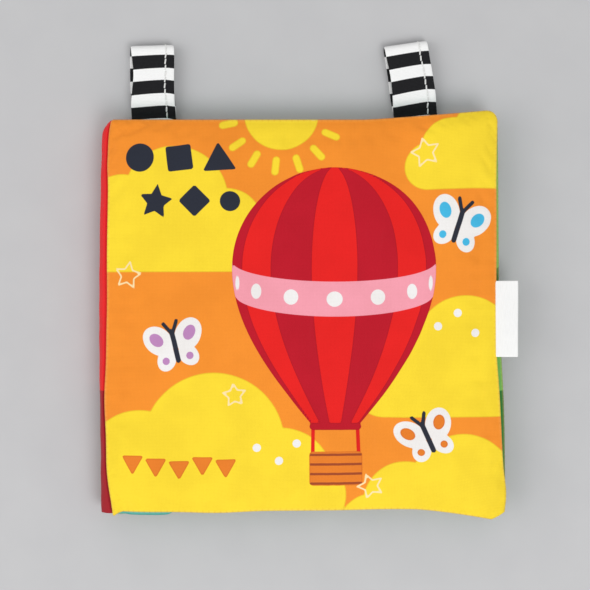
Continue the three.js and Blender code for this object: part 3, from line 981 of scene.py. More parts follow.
def make_weave():
    """Plain weave: in a chequer of crossings, warp or weft lies on top as a rounded thread."""
    group, tree, given, result = new_group(
        "plain_weave", {"Place": None, "Pitch": 0.6, "Unevenness": 0.4}, ("Height", "Shade"))
    stray = tree.noise(given.outputs["Place"], 0.9, 2.0)
    pull = tree.math("MULTIPLY", tree.math("SUBTRACT", stray, 0.5), given.outputs["Unevenness"])
    x, y = tree.parts(given.outputs["Place"])
    x = tree.math("DIVIDE", tree.math("ADD", x, pull), given.outputs["Pitch"])
    y = tree.math("DIVIDE", tree.math("SUBTRACT", y, pull), given.outputs["Pitch"])
    warp = tree.math("ABSOLUTE", tree.math("SINE", tree.math("MULTIPLY", x, math.pi)))
    weft = tree.math("ABSOLUTE", tree.math("SINE", tree.math("MULTIPLY", y, math.pi)))
    cells = tree.math("ADD", tree.math("FLOOR", x), tree.math("FLOOR", y))
    odd = tree.math("FLOORED_MODULO", cells, 2.0)
    warp_over = tree.math("MULTIPLY", warp, tree.math("MULTIPLY_ADD", weft, 0.5, 0.5))
    weft_over = tree.math("MULTIPLY", weft, tree.math("MULTIPLY_ADD", warp, 0.5, 0.5))
    height = tree.add("ShaderNodeMix", data_type="FLOAT")
    tree.put(height.inputs[0], odd)
    tree.put(height.inputs[2], weft_over)
    tree.put(height.inputs[3], warp_over)
    tree.put(result.inputs["Height"], height.outputs[0])
    tree.put(result.inputs["Shade"], tree.span(height.outputs[0], 0.0, 0.8, 0.0, 1.0))
    return group


def make_handling():
    """Marks of sewing and handling: slow mottling, faint rubbed streaks, a pale line along each seam that
    is partly wear and partly a painted highlight on the rolled edge, and the small dents where its stitches
    pull."""
    group, tree, given, result = new_group(
        "handling", {"Place": None, "Seam": 5.0, "Along seam": 0.0, "Edge width": 0.7},
        ("Mottle", "Rubbed", "Pale edge", "Stitch pull"))
    place = given.outputs["Place"]
    tree.put(result.inputs["Mottle"], tree.noise(place, 0.045, 4.0, 0.55))
    streaks = tree.noise(tree.scaled(place, (1.0, 0.12, 1.0)), 0.35, 3.0)
    tree.put(result.inputs["Rubbed"], tree.span(streaks, 0.55, 0.8))
    frayed = tree.math("ADD", given.outputs["Seam"], tree.math("MULTIPLY", tree.noise(place, 1.6), 0.5))
    # the pale line along the seam: partly wear of the print, partly a painted highlight on the rolled edge
    worn = tree.span(frayed, 0.2, tree.math("ADD", given.outputs["Edge width"], 0.25), 1.0, 0.0)
    tree.put(result.inputs["Pale edge"], worn)
    beat = tree.math("COSINE", tree.math("MULTIPLY", given.outputs["Along seam"], 2 * math.pi / SEAM_STITCH))
    close = tree.span(given.outputs["Seam"], 0.3, 1.3, 1.0, 0.0)
    tree.put(result.inputs["Stitch pull"], tree.math("MULTIPLY", close, tree.span(beat, 0.35, 1.0)))
    return group


def make_ink_edge():
    """Where an ink lies: 1 inside its edge and 0 outside, with an edge that bleeds a little, and the
    thin line just inside the edge where it overlaps the ink beside it."""
    group, tree, given, result = new_group("ink_edge", {"Place": None, "Distance": 0.0, "Bleed": 0.1},
                                           ("Cover", "Overlap"))
    bleed = tree.math("MULTIPLY", tree.math("SUBTRACT", tree.noise(given.outputs["Place"], 1.4), 0.5),
                      given.outputs["Bleed"])
    edge = tree.math("ADD", given.outputs["Distance"], bleed)
    tree.put(result.inputs["Cover"], tree.span(edge, -PRINT_SOFTNESS, PRINT_SOFTNESS, 1.0, 0.0))
    from_middle = tree.math("ABSOLUTE", tree.math("ADD", edge, INK_OVERLAP / 2))
    tree.put(result.inputs["Overlap"], tree.span(from_middle, 0.0, INK_OVERLAP, 1.0, 0.0))
    return group


WEAVE = make_weave()
HANDLING = make_handling()
INK_EDGE = make_ink_edge()


def new_material(name, roughness, sheen=0.0, sheen_roughness=0.5, specular=0.4):
    """A material whose Principled shader has the values that are the same all over."""
    material = bpy.data.materials.new(name)
    material.use_nodes = True
    tree = Tree(material.node_tree)
    shader = material.node_tree.nodes["Principled BSDF"]
    shader.inputs["Roughness"].default_value = roughness
    shader.inputs["Sheen Weight"].default_value = sheen
    shader.inputs["Sheen Roughness"].default_value = sheen_roughness
    shader.inputs["Specular IOR Level"].default_value = specular
    return material, tree, shader


def bump(tree, shader, height, strength, distance):
    """Feeds a height through a Bump node into the shader's normal; distance is in millimetres."""
    node = tree.add("ShaderNodeBump", {"Strength": strength, "Distance": distance * MM, "Height": height})
    tree.put(shader.inputs["Normal"], node.outputs["Normal"])


def printed_cloth(name, ground, design):
    """Smooth printed polyester: the design's inks laid one over the other in its order, then weave with
    painted shade between its threads, mottling, a seam line that is partly wear and partly a painted
    highlight, and painted shade in the small dents of the stitches."""
    material, tree, shader = new_material(name, 0.66, 0.03, 0.45, 0.12)
    cloth = tree.attribute("cloth", vector=True)
    colour = INKS[ground]
    for ink in design(np.zeros(1), np.zeros(1)):
        distance = tree.attribute(ink)
        if ink.endswith("_lines"):
            distance = tree.math("SUBTRACT", tree.math("ABSOLUTE", distance), LINE_HALF)
        edge = tree.group(INK_EDGE, Place=cloth, Distance=distance, Bleed=0.12)
        colour = tree.mix(edge.outputs["Cover"], colour, INKS[ink])
        if ink in COVERING_INKS:
            twice = tree.tinted(colour, (0.88, 0.80, 0.74))
            colour = tree.mix(edge.outputs["Overlap"], colour, twice)
    weave = tree.group(WEAVE, Place=cloth, Pitch=WEAVE_PITCH, Unevenness=0.3)
    marks = tree.group(HANDLING, Place=cloth, Seam=tree.attribute("seam"),
                       Along_seam=tree.attribute("along_seam"), Edge_width=1.1)
    deep = tree.tinted(colour, (0.90, 0.88, 0.86))
    colour = tree.mix(tree.span(marks.outputs["Mottle"], 0.35, 0.65, 0.0, 0.55), colour, deep)
    # painted shade: the colour darkens in the gaps between the threads of the weave
    hollow = tree.tinted(colour, (0.86, 0.84, 0.82))
    colour = tree.mix(tree.span(weave.outputs["Shade"], 0.0, 1.0, 0.5, 0.0), colour, hollow)
    # pale seam line: partly wear of the print, partly a painted highlight where light catches the rolled
    # edge
    pale = tree.mix(0.22, colour, (1.0, 0.62, 0.22, 1.0))
    colour = tree.mix(marks.outputs["Pale edge"], colour, pale)
    # painted shade: the colour darkens in the small dents where the stitches of the seam pull
    pulled = tree.tinted(colour, (0.95, 0.90, 0.85))
    colour = tree.mix(marks.outputs["Stitch pull"], colour, pulled)
    tree.put(shader.inputs["Base Color"], colour)
    tree.put(shader.inputs["Roughness"], tree.span(marks.outputs["Rubbed"], 0.0, 1.0, 0.66, 0.56))
    dent = tree.math("MULTIPLY_ADD", marks.outputs["Stitch pull"], -0.4, weave.outputs["Height"])
    bump(tree, shader, dent, 0.35, 0.12)
    return material


def spine_cloth():
    """The same cloth in plain red, printed a deeper crimson over its lower part. It is darkened with
    painted shade in the crease beside each seam."""
    material, tree, shader = new_material("red_spine_cloth", 0.62, 0.05, 0.45, 0.25)
    cloth = tree.attribute("cloth", vector=True)
    lower = tree.group(INK_EDGE, Place=cloth, Distance=tree.attribute("crimson"), Bleed=0.15)
    colour = tree.mix(lower.outputs["Cover"], DYES["spine_red"], DYES["spine_crimson"])
    weave = tree.group(WEAVE, Place=cloth, Pitch=WEAVE_PITCH, Unevenness=0.3)
    marks = tree.group(HANDLING, Place=cloth, Seam=tree.attribute("seam"), Edge_width=0.8)
    deep = tree.tinted(colour, (0.88, 0.84, 0.84))
    colour = tree.mix(tree.span(marks.outputs["Mottle"], 0.35, 0.65, 0.0, 0.6), colour, deep)
    # painted shade: the cloth darkens in the crease beside each seam, where the fold shades it
    grimy = tree.tinted(colour, (0.66, 0.50, 0.42))
    colour = tree.mix(tree.span(tree.attribute("seam"), 0.4, 1.5, 1.0, 0.0), colour, grimy)
    # painted shade: the deeper tint also darkens the gaps between the threads of the weave
    colour = tree.mix(tree.span(weave.outputs["Shade"], 0.0, 1.0, 0.45, 0.0), colour, deep)
    tree.put(shader.inputs["Base Color"], colour)
    tree.put(shader.inputs["Roughness"], tree.span(marks.outputs["Rubbed"], 0.0, 1.0, 0.66, 0.56))
    bump(tree, shader, weave.outputs["Height"], 0.35, 0.12)
    return material


def striped_cloth():
    """Black and white woven stripes across a strap. cloth holds the place across the strap and the
    distance along it from its fold. Each stripe arches up to the stitches and drops beyond them, more
    so near the seam."""
    material, tree, shader = new_material("striped_strap_cloth", 0.78, 0.04, 0.5, 0.2)
    cloth = tree.attribute("cloth", vector=True)
    across, along = tree.parts(cloth)
    ragged = tree.noise(tree.scaled(cloth, (2.2, 0.5, 1.0)), 1.0, 2.0)
    along = tree.math("ADD", along, tree.math("MULTIPLY", tree.math("SUBTRACT", ragged, 0.5), 0.28))
    from_stitches = tree.math("SUBTRACT", across, STRAP_WIDTH / 2 - STITCH_FROM_EDGE)
    beyond = tree.math("MAXIMUM", from_stitches, 0.0)
    from_fold = tree.math("ABSOLUTE", along)
    arch = tree.math("COSINE", tree.math("MULTIPLY", from_stitches, 0.12))
    along_bent = tree.math("MULTIPLY_ADD", arch, tree.math("MULTIPLY_ADD", from_fold, 0.016, 0.2), along)
    drop = tree.math("MULTIPLY", beyond, tree.math("MULTIPLY_ADD", from_fold, 0.0045, 0.03))
    along_bent = tree.math("SUBTRACT", along_bent, drop)
    wave = tree.math("PINGPONG", tree.math("ADD", along_bent, STRIPE / 2 - STRIPE_START), STRIPE)
    white_from = STRIPE / 2 + BLACK_SPREAD
    white = tree.span(wave, white_from - 0.1, white_from + 0.1)
    weft = tree.math("ABSOLUTE", tree.math("SINE", tree.math("MULTIPLY", along, math.pi / WEAVE_PITCH)))
    warp = tree.math("ABSOLUTE", tree.math("SINE", tree.math("MULTIPLY", across, math.pi / STRAP_THREAD)))
    thread = tree.math("MULTIPLY_ADD", warp, 0.3, tree.math("MULTIPLY", weft, 0.7))
    fibre = tree.noise(tree.scaled(cloth, (0.8, 6.0, 1.0)), 1.0, 3.0, 0.6)
    # painted highlight and shade: the crowns of the threads are lighter and the gaps between them darker,
    # broken up by the fibre noise
    black = tree.mix(tree.math("MULTIPLY", thread, fibre), DYES["strap_black"], DYES["strap_black_thread"])
    lit = tree.math("MULTIPLY", thread, tree.span(fibre, 0.2, 0.7))
    pale = tree.mix(lit, DYES["strap_white"], DYES["strap_white_thread"])
    tree.put(shader.inputs["Base Color"], tree.mix(white, black, pale))
    tree.put(shader.inputs["Roughness"], tree.span(fibre, 0.2, 0.8, 0.86, 0.7))
    bump(tree, shader, thread, 0.5, 0.18)
    return material


def ribbon_satin():
    """White satin ribbon: fine threads along it and a firmer woven edge on both sides."""
    material, tree, shader = new_material("white_satin_ribbon", 0.45, 0.15, 0.35, 0.5)
    cloth = tree.attribute("cloth", vector=True)
    across, along = tree.parts(cloth)
    float_threads = tree.math("SINE", tree.math("MULTIPLY", along, 2 * math.pi / 0.45))
    slub = tree.noise(tree.scaled(cloth, (0.25, 3.0, 1.0)), 1.0, 3.0)
    edge = tree.span(tree.math("ABSOLUTE", across), LABEL_LENGTH / 2 - 1.3, LABEL_LENGTH / 2 - 0.9)
    height = tree.math("MULTIPLY_ADD", edge, 0.6, tree.math("MULTIPLY", float_threads, 0.3))
    colour = tree.mix(tree.span(slub, 0.3, 0.7), DYES["ribbon_dull"], DYES["ribbon_bright"])
    tree.put(shader.inputs["Base Color"], colour)
    tree.put(shader.inputs["Roughness"], tree.span(slub, 0.3, 0.7, 0.5, 0.38))
    bump(tree, shader, height, 0.3, 0.1)
    return material


def sewing_thread(name, colour):
    """Twisted polyester thread: slanting strands in its height, and in its colour as painted shade in the
    grooves between them.
    """
    material, tree, shader = new_material(name, 0.55, 0.2, 0.4, 0.4)
    place = tree.add("ShaderNodeTexCoord").outputs["Object"]
    twist = tree.add("ShaderNodeTexWave", {"Vector": place, "Scale": 900.0, "Distortion": 1.0},
                     bands_direction="DIAGONAL").outputs["Fac"]
    # painted shade: the grooves between the twisted strands are darker
    dark = tuple(0.72 * part for part in colour[:3]) + (1.0,)
    tree.put(shader.inputs["Base Color"], tree.mix(twist, dark, colour))
    bump(tree, shader, twist, 0.4, 0.08)
    return material


def loose_wadding():
    """White polyester wadding: tangled fibres and soft lumps, with painted light and shade among the fibres.
    """
    material, tree, shader = new_material("white_wadding", 0.92, 0.25, 0.6, 0.2)
    place = tree.add("ShaderNodeTexCoord").outputs["Object"]
    fibres = tree.noise(tree.scaled(place, (900.0, 300.0, 500.0)), 1.0, 6.0, 0.7)
    lumps = tree.noise(place, 90.0, 3.0)
    # painted light and shade: the fibres are lighter and darker as light and shade would fall in the tangle
    colour = tree.mix(tree.math("MULTIPLY", fibres, lumps), DYES["wadding_deep"], DYES["wadding_top"])
    tree.put(shader.inputs["Base Color"], colour)
    bump(tree, shader, fibres, 0.8, 0.4)
    return material


def crackling_film():
    """Thin clear-silver film with sharp creases."""
    material, tree, shader = new_material("crinkle_film", 0.24, 0.0, 0.5, 0.6)
    place = tree.add("ShaderNodeTexCoord").outputs["Object"]
    facets = tree.add("ShaderNodeTexVoronoi", {"Vector": place, "Scale": 110.0}, feature="DISTANCE_TO_EDGE")
    haze = tree.noise(place, 60.0, 4.0)
    tree.put(shader.inputs["Base Color"], tree.mix(haze, DYES["film_dark"], DYES["film_light"]))
    tree.put(shader.inputs["Roughness"], tree.span(haze, 0.3, 0.7, 0.16, 0.34))
    bump(tree, shader, tree.span(facets.outputs["Distance"], 0.0, 0.1), 0.4, 0.25)
    return material


# Padding and film inside the leaves


def filling_piece(sewn_leaf, upper, lower, seed):
    """Loose filling: it keeps its distance from the upper and the lower panel and has soft lumps. Towards
    its edge both faces draw together."""
    plan = leaf_plan(sewn_leaf, INNER_STEPS, PADDING_INSET)
    lumps = LUMP * swell(plan.x, plan.y, LUMP_WIDTH, seed)
    lumps = lumps + TUFT * swell(plan.x, plan.y, TUFT_WIDTH, seed + 1) - FILLING_SLACK
    rounded = np.minimum(1, (plan.inside - PADDING_INSET) / FILLING_ROUND)
    reach = FILLING_EDGE + (1 - FILLING_EDGE) * rounded
    grids = []
    for cloth, gap in ((upper, FABRIC + FILM + 2 * FIT), (lower, FABRIC + FIT)):
        grid = leaf_face(sewn_leaf, plan, cloth.side, cloth.seed, cloth.wave)
        depth = cloth.side * (grid[..., 2] - sewn_leaf.z) - gap
        grid[..., 2] = sewn_leaf.z + cloth.side * reach * (depth + lumps)
        grids.append(grid)
    grids[1][..., :2] = grids[0][..., :2]
    points, quads = pillow(*grids)
    piece = mesh_piece(sewn_leaf.name + "_filling", points, quads, material=MATERIALS["wadding"])
    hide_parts(sewn_leaf.name + "_wadding")
    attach(piece, sewn_leaf.body)


def film_piece(sewn_leaf, upper, seed):
    """Crinkle film under the upper panel: its creases are the folds of three crossing triangle waves."""
    plan = leaf_plan(sewn_leaf, INNER_STEPS, PADDING_INSET)
    draw = np.random.default_rng(seed)
    creases = 0
    for turn in draw.uniform(0, np.pi, 3):
        along = (plan.x * np.cos(turn) + plan.y * np.sin(turn)) / draw.uniform(*CREASE_WIDTHS)
        creases = creases + abs(along % 2 - 1) - 0.5
    grid = leaf_face(sewn_leaf, plan, 1, upper.seed, upper.wave)
    grid[..., 2] -= FABRIC + FIT + CREASE - CREASE * creases
    points, quads = shell(grid, FILM / 2)
    piece = mesh_piece(sewn_leaf.name + "_film", points, quads, material=MATERIALS["film"])
    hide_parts(sewn_leaf.name + "_crinkle_film")
    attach(piece, sewn_leaf.body)


# Spine


def spine_side(name, node, sewn_leaf, depth):
    """Half of a spine strip, from the middle of its bulge to the hinge line of one cover. depth is how far
    it lies inside the outer band.

    Its section is a quarter ellipse: x = hinge - bulge cos(a), z = middle + rise sin(a). The bulge is a
    parabola along the spine. It narrows to a tip at the top and widens a little to its foot, where it is
    cut straight. A crease runs beside the seam, as a bell curve, and small folds cross the strip.
    """
    up = 1 if sewn_leaf.z > MIDDLE_Z else -1
    half = SPINE_LENGTH / 2
    y = np.linspace(-half, half - SPINE_TOP_TUCK, SPINE_ROWS)[:, None]
    angle = np.linspace(0, np.pi / 2, SPINE_COLUMNS)[None, :]
    seam = np.stack([SPINE_X + 0 * y, y], axis=-1)
    edge_x, _ = sewn_place(sewn_leaf, seam[..., 0], seam[..., 1])
    taper = np.maximum(0, 1 - (half - SPINE_TOP_TUCK - y) / SPINE_TAPER) ** 2
    bulge = SPINE_BULGE + bow_at(SPINE_BOW, y) - (SPINE_BULGE - SPINE_TIP) * taper - depth
    bulge = bulge + SPINE_FOOT * smooth(-y, half - SPINE_FOOT_REACH, half)
    wrinkles = SPINE_WRINKLE * np.sin(y / 2.9 + 1.6 * np.sin(y / 13.0)) * np.sin(2 * angle)
    long_fold = SPINE_LONG_FOLD * bell(angle, SPINE_LONG_FOLD_AT, SPINE_LONG_FOLD_SPREAD)
    long_fold = long_fold * (0.6 + 0.4 * np.sin(y / 31.0))
    inset = FABRIC / 2 + SPINE_CLEAR + depth * LINING_STEP
    rise = PITCH - inset
    x = SPINE_X - (bulge + wrinkles - long_fold) * np.cos(angle)
    x = x + (edge_x + SPINE_OVERLAP - SPINE_X) * np.sin(angle) ** 3
    crease = SPINE_CREASE * bell(angle, SPINE_CREASE_AT, SPINE_CREASE_SPREAD)
    z = MIDDLE_Z + up * (rise * np.sin(angle) - crease) + 0 * y
    grid = np.stack([x, y + 0 * angle, z], axis=-1)
    along_section = lengths_along(grid[len(grid) // 2])
    values = {"seam": (along_section[-1] - along_section + 0 * x).ravel()}
    values["cloth"] = np.stack([up * along_section + 0 * x, grid[..., 1], 0 * x], axis=-1).reshape(-1, 3)
    values["crimson"] = (grid[..., 1] - CRIMSON_TOP + 0 * x).ravel()
    if up < 0:
        grid, values = turned_over(grid, values)
    points, quads = shell(grid, FABRIC)
    piece = mesh_piece(name, points, quads, layered(values), MATERIALS["spine"])
    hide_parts(node)
    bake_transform(piece)


# Ribbon loops


def loop_line(reach, layer, low, high, spread, tuck):
    """Middle line of a folded ribbon from the side, as distance from its seam and height over it.

    The lower run eases down to its height over the spread, a half round turns it back, and the upper
    run eases to the seam again. Both runs go a little way into the seam, and the points are even.
    """
    bend = (high - low) / 2 - layer / 2
    fold_at = reach - bend - layer / 2
    out = np.linspace(-tuck, fold_at, RUN_STEPS)
    ease = smooth(out, 0, spread)
    lower = -layer / 2 + (low + layer) * ease
    upper = layer / 2 + (high - layer) * ease
    turn = np.linspace(-np.pi / 2, np.pi / 2, TURN_STEPS)[1:-1]
    fold = np.stack([fold_at + bend * np.cos(turn), (low + high) / 2 + bend * np.sin(turn)], axis=-1)
    line = np.concatenate([np.stack([out, lower], axis=-1), fold, np.stack([out, upper], axis=-1)[::-1]])
    length = lengths_along(line)
    fold_length = np.interp(len(line) / 2 - 0.5, np.arange(len(line)), length)
    even = np.linspace(0, length[-1], LOOP_STEPS + 1)
    line = np.stack([np.interp(even, length, line[:, 0]), np.interp(even, length, line[:, 1])], axis=-1)
    return line, even - fold_length


def seam_stretch(sewn_leaf, x, y):
    """The middle of a stretch of a leaf's seam, and the direction from its first end to its second."""
    seam_x, seam_y = sewn_place(sewn_leaf, x, y)
    run = np.array([seam_x[1] - seam_x[0], seam_y[1] - seam_y[0], 0])
    return seam_x.mean(), seam_y.mean(), unit(run)


def ribbon_frame(line, seam, along):
    """Places in space and outward normals of the middle line of a loop that leaves its seam that way."""
    up = np.array([0.0, 0.0, 1.0])
    middle = seam + line[:, :1] * along + line[:, 1:] * up
    slope = unit(np.gradient(line, axis=0))
    return middle, slope[:, 1:] * along - slope[:, :1] * up


def ribbon_mesh(middle, normal, across, side, height):
    """A closed ribbon: the section (side, height), which goes once round, carried along the middle."""
    side = np.broadcast_to(side, (len(middle), side.shape[-1]))
    height = np.broadcast_to(height, side.shape)
    grid = middle[:, None] + side[..., None] * across + height[..., None] * normal[:, None]
    return grid.reshape(-1, 3), closed_tube(*side.shape)


def ribbon_values(side, from_fold):
    """What a ribbon's cloth reads at each point: the place across it and the distance from its fold."""
    cloth = np.stack(np.broadcast_arrays(side, from_fold[:, None], 0 * from_fold[:, None]), axis=-1)
    return {"cloth": cloth.reshape(-1, 3)}


def ribbon_section(width, layer, steps):
    """Once round a ribbon: along its outer side, then back along the other, both with soft edges."""
    turn = np.linspace(-np.pi / 2, np.pi / 2, steps)
    side = width / 2 * np.sin(turn)
    height = layer / 2 * np.sqrt(1 - np.abs(np.sin(turn)) ** 16)
    return np.r_[side, side[::-1]], np.r_[height, -height[::-1]]


def stitch_row(path, normal):
    """Stitches along a path: each rises from the cloth, lies on it and dips back in. Their thickness and
    their height follow the root of 1 - c^8, where c goes from -1 to 1 along the stitch."""
    along = lengths_along(path)
    count = round(along[-1] / (STITCH_LENGTH + STITCH_GAP))
    starts = np.arange(count) * along[-1] / count
    share = (1 - np.cos(np.linspace(0, np.pi, STITCH_RINGS))) / 2
    where = starts[:, None] + share * (along[-1] / count - STITCH_GAP)
    centre = np.stack([np.interp(where, along, path[:, i]) for i in range(3)], axis=-1)
    up = np.stack([np.interp(where, along, normal[:, i]) for i in range(3)], axis=-1)
    arch = np.sqrt(np.maximum(1 - np.abs(2 * share - 1) ** 8, 0))
    beside = np.cross(unit(np.gradient(centre, axis=1)), up)
    lift = THREAD_RADIUS * (STITCH_DIP * (arch - 1) + STITCH_LIFT)
    slant = STITCH_SLANT * np.sin(starts * 2.3)[:, None] * (2 * share - 1)
    centre = centre + up * lift[None, :, None] + beside * slant[..., None]
    spoke = np.linspace(0, 2 * np.pi, THREAD_SIDES + 1)[:-1, None]
    ring = np.cos(spoke) * beside[:, :, None] + np.sin(spoke) * up[:, :, None]
    points = centre[:, :, None] + THREAD_RADIUS * np.maximum(arch, 0.02)[None, :, None, None] * ring
    first = np.arange(count) * STITCH_RINGS * THREAD_SIDES
    quads = closed_tube(STITCH_RINGS, THREAD_SIDES) + first[:, None, None]
    return points.reshape(-1, 3), quads.reshape(-1, 4)


def strap(loop):
    """A striped strap folded into a loop and sewn into the top seam of the back cover, with its row of
    edge stitches. The run at the back lies a little to the left of the run in front, whose left edge is
    drawn in half-way along, as a bell curve."""
    low = -BACK_Z
    high = low + STRAP_OPENING + 2 * STRAP_LAYER
    line, from_fold = loop_line(loop.reach, STRAP_LAYER, low, high, STRAP_SPREAD, STRAP_TUCK)
    out = line[:, 0]
    ends_x = np.array([loop.middle - STRAP_WIDTH / 2, loop.middle + STRAP_WIDTH / 2])
    seam_x, seam_y, seam_run = seam_stretch(BACK, ends_x, np.full(2, BACK.top))
    seam = np.array([seam_x, seam_y + STRAP_LAYER + FIT, BACK_Z])
    lean = math.radians(loop.lean)
    along = np.array([-math.sin(lean), math.cos(lean), 0])
    middle, normal = ribbon_frame(line, seam, along)
    seam_angle = math.atan2(seam_run[1], seam_run[0])
    facing = seam_angle + (lean - seam_angle) * smooth(out, 0, STRAP_TURN)
    across = np.stack([np.cos(facing), np.sin(facing), 0 * facing], axis=-1)
    behind = loop.shift * (smooth(from_fold, *STRAP_FOLD_STRETCH) - 1) * smooth(out, 0, STRAP_SHIFT_REACH)
    sway = STRAP_SWAY * np.sin(from_fold / STRAP_SWAY_PITCH + loop.seed) * np.minimum(1, out / 6 + 0.2)
    side, height = ribbon_section(STRAP_WIDTH, STRAP_LAYER, STRAP_COLUMNS)
    stitch_at = STRAP_WIDTH / 2 - STITCH_FROM_EDGE
    pinch = 1 - STITCH_PINCH * bell(side, stitch_at, 0.8)
    free = np.minimum(1, np.maximum(out, 0) / 12) * np.minimum(1, abs(from_fold) / 8)
    free = free[:, None]

    def relief(place):
        """How far the strap rises at a place across it: a crown, and a small ruffle by the stitches."""
        ruffle = STRAP_RUFFLE * np.sin(from_fold[:, None] / 1.3 + place / 7) * bell(place, stitch_at, 3.5)
        return STRAP_CROWN * free * (1 - (2 * place / STRAP_WIDTH) ** 2) + ruffle * np.minimum(1, free * 4)

    waist = loop.waist * bell(from_fold, STRAP_WAIST_AT, STRAP_WAIST_SPREAD)
    waist = waist - loop.flare * smooth(from_fold, STRAP_FLARE_START, STRAP_FLARE_END)
    shifted = side + (behind + sway)[:, None] + waist[:, None] * smooth(-side, 0, STRAP_WIDTH / 2)
    points, quads = ribbon_mesh(middle, normal, across[:, None], shifted, height * pinch + relief(side))
    points[:, 2] = np.maximum(points[:, 2], CLEAR_OF_GROUND)
    name = "striped_" + loop.side + "_strap"
    piece = mesh_piece(name, points, quads, ribbon_values(side, from_fold), MATERIALS["strap"])
    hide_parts(loop.side + "_strap_loop")
    wander = STITCH_WANDER * np.sin(from_fold / 5.5 + loop.seed) + 0.12 * np.sin(from_fold / 1.9)
    row = middle + (stitch_at + behind + sway + wander)[:, None] * across
    row = row + normal * (0.4 * STRAP_LAYER + relief(np.array([stitch_at])))
    shown = out > -FIT
    outer, outer_faces = stitch_row(row[shown], normal[shown])
    inner, inner_faces = stitch_row((row - 0.8 * STRAP_LAYER * normal)[shown], -normal[shown])
    threads = np.concatenate([outer, inner])
    threads[:, 2] = np.maximum(threads[:, 2], CLEAR_OF_GROUND)
    faces = np.concatenate([outer_faces, inner_faces + len(outer)])
    stitches = mesh_piece(name + "_stitches", threads, faces, material=MATERIALS["white_thread"])
    for part in (piece, stitches):
        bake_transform(part)


def side_label():
    """A blank ribbon folded double and sewn into the fore-edge seam of the front cover."""
    high = LABEL_LAYER + LABEL_OPENING / 2
    line, from_fold = loop_line(LABEL_REACH, LABEL_LAYER, -high, high, LABEL_REACH / 3, LABEL_TUCK)
    ends_y = np.array([LABEL_Y + LABEL_LENGTH / 2, LABEL_Y - LABEL_LENGTH / 2])
    seam_x, seam_y, across = seam_stretch(FRONT, np.full(2, FRONT.right), ends_y)
    seam = np.array([seam_x + LABEL_LAYER + FIT, seam_y, FRONT_Z])
    along = np.array([1.0, 0.0, 0.0])
    middle, normal = ribbon_frame(line, seam, along)
    side, height = ribbon_section(LABEL_LENGTH, LABEL_LAYER, LABEL_COLUMNS)
    free = np.minimum(1, np.maximum(line[:, :1], 0) / LABEL_REACH)
    wave = LABEL_WAVE * np.sin(side / 5.4 + 0.6) * free
    points, quads = ribbon_mesh(middle, normal, across, side, height)
    points = points.reshape(len(line), -1, 3)
    points[..., 2] += wave + LABEL_CURL * free ** 2 * (2 * side / LABEL_LENGTH) ** 2
    points[..., 0] -= LABEL_EDGE_WAVE * np.sin(side / 8.0) * free
    values = ribbon_values(side, from_fold)
    piece = mesh_piece("white_side_label", points.reshape(-1, 3), quads, values, MATERIALS["ribbon"])
    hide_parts("side_label")
    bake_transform(piece)


# Room


def room():
    """A plain pale floor, soft daylight from the lower right, and the camera above the book."""
    rows = 3
    place = np.linspace(-FLOOR_REACH, FLOOR_REACH, rows)
    x, y = np.meshgrid(place, place)
    mesh = bpy.data.meshes.new("floor")
    points = np.stack([x, y, 0 * x], axis=-1).reshape(-1, 3)
    mesh.from_pydata((points * MM).tolist(), [], grid_quads(rows, rows).tolist())
    floor = bpy.data.objects.new("floor", mesh)
    bpy.context.collection.objects.link(floor)
    material, tree, shader = new_material("pale_floor", 0.9)
    place = tree.add("ShaderNodeTexCoord").outputs["Object"]
    colour = tree.mix(tree.noise(place, 40.0), DYES["floor_dark"], DYES["floor_light"])
    tree.put(shader.inputs["Base Color"], colour)
    mesh.materials.append(material)
    for name, place, size, power in LAMPS:
        data = bpy.data.lights.new(name, "AREA")
        data.shape = "DISK"
        data.size = size
        data.energy = power
        lamp = bpy.data.objects.new(name, data)
        bpy.context.collection.objects.link(lamp)
        lamp.location = place
        lamp.rotation_euler = lamp.location.to_track_quat("Z", "Y").to_euler()
    world = bpy.data.worlds.new("daylight")
    world.use_nodes = True
    sky = world.node_tree.nodes["Background"]
    sky.inputs["Color"].default_value = (1.0, 1.0, 1.0, 1.0)
    sky.inputs["Strength"].default_value = SKY_STRENGTH
    bpy.context.scene.world = world
    bpy.context.scene.view_settings.view_transform = "Standard"
    camera_data = bpy.data.cameras.new("camera")
    camera_data.lens = CAMERA_LENS
    camera_data.sensor_width = CAMERA_SENSOR
    camera = bpy.data.objects.new("camera", camera_data)
    bpy.context.collection.objects.link(camera)
    camera.location = tuple(part * MM for part in CAMERA_PLACE)
    bpy.context.scene.camera = camera


MATERIALS = {
    "front": printed_cloth("orange_cover_print", "orange", front_design),
    "back": printed_cloth("orange_back_print", "orange", back_design),
    "sea": printed_cloth("teal_page_print", "page_teal", sea_design),
    "meadow": printed_cloth("green_page_print", "green", meadow_design),
    "shapes": printed_cloth("mint_page_print", "mint", shapes_design),
    "garden": printed_cloth("garden_page_print", "green", garden_design),
    "spine": spine_cloth(),
    "strap": striped_cloth(),
    "ribbon": ribbon_satin(),
    "white_thread": sewing_thread("white_thread", DYES["sewing_thread"]),
    "wadding": loose_wadding(),
    "film": crackling_film(),
}

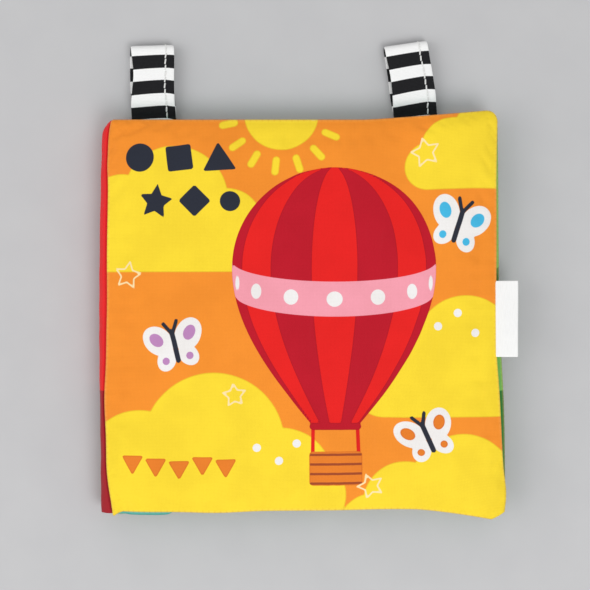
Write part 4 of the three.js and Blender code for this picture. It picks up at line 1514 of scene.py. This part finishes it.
# The panels of each leaf, the upper one first. wave is the height of its broad waves
PANELS = (
    SimpleNamespace(name="front_cover_print", node="front_cover_printed_panel", leaf=FRONT, side=1,
                    design=front_design, finish="front", steps=FRONT_STEPS, seed=3, wave=0.32),
    SimpleNamespace(name="front_cover_page", node="front_cover_page_panel", leaf=FRONT, side=-1,
                    design=sea_design, finish="sea", steps=PAGE_STEPS, seed=5, wave=0.1),
    SimpleNamespace(name="middle_leaf_right_page", node="middle_leaf_right_page_panel", leaf=MIDDLE, side=1,
                    design=meadow_design, finish="meadow", steps=PAGE_STEPS, seed=8, wave=0.1),
    SimpleNamespace(name="middle_leaf_left_page", node="middle_leaf_left_page_panel", leaf=MIDDLE, side=-1,
                    design=shapes_design, finish="shapes", steps=PAGE_STEPS, seed=11, wave=0.1),
    SimpleNamespace(name="back_cover_page", node="back_cover_page_panel", leaf=BACK, side=1,
                    design=garden_design, finish="garden", steps=PAGE_STEPS, seed=14, wave=0.1),
    SimpleNamespace(name="back_cover_print", node="back_cover_outer_panel", leaf=BACK, side=-1,
                    design=back_design, finish="back", steps=PAGE_STEPS, seed=17, wave=0.2),
)

# Each strap: the place of its middle and how far it reaches out of its seam, how many degrees it leans to
# the left, how far its back run lies to the left, how far the left edge of its front run is drawn in, and
# how far that edge stands out again at the seam
STRAPS = (
    SimpleNamespace(side="left", middle=SPINE_X + 20.5, reach=33.6, lean=1.4, shift=0.8, waist=1.2,
                    flare=0.5, seed=1),
    SimpleNamespace(side="right", middle=BACK.right - 34.85, reach=33.3, lean=7.9, shift=0.35, waist=0.6,
                    flare=0.2, seed=4),
)

room()
for number, sewn_leaf in enumerate((FRONT, MIDDLE, BACK)):
    swell_cloth(sewn_leaf, SWELL_SEED + number)
for cloth in PANELS:
    panel(cloth)
for number, sewn_leaf in enumerate((FRONT, MIDDLE, BACK)):
    upper, lower = (cloth for cloth in PANELS if cloth.leaf is sewn_leaf)
    filling_piece(sewn_leaf, upper, lower, FILLING_SEED + number)
    film_piece(sewn_leaf, upper, FILM_SEED + number)
for half_name, sewn_leaf in (("front_half", FRONT), ("back_half", BACK)):
    spine_side("spine_band_" + half_name, "spine_outer_band", sewn_leaf, 0.0)
    spine_side("spine_lining_" + half_name, "spine_lining", sewn_leaf, LINING_DEPTH)
for loop in STRAPS:
    strap(loop)
side_label()
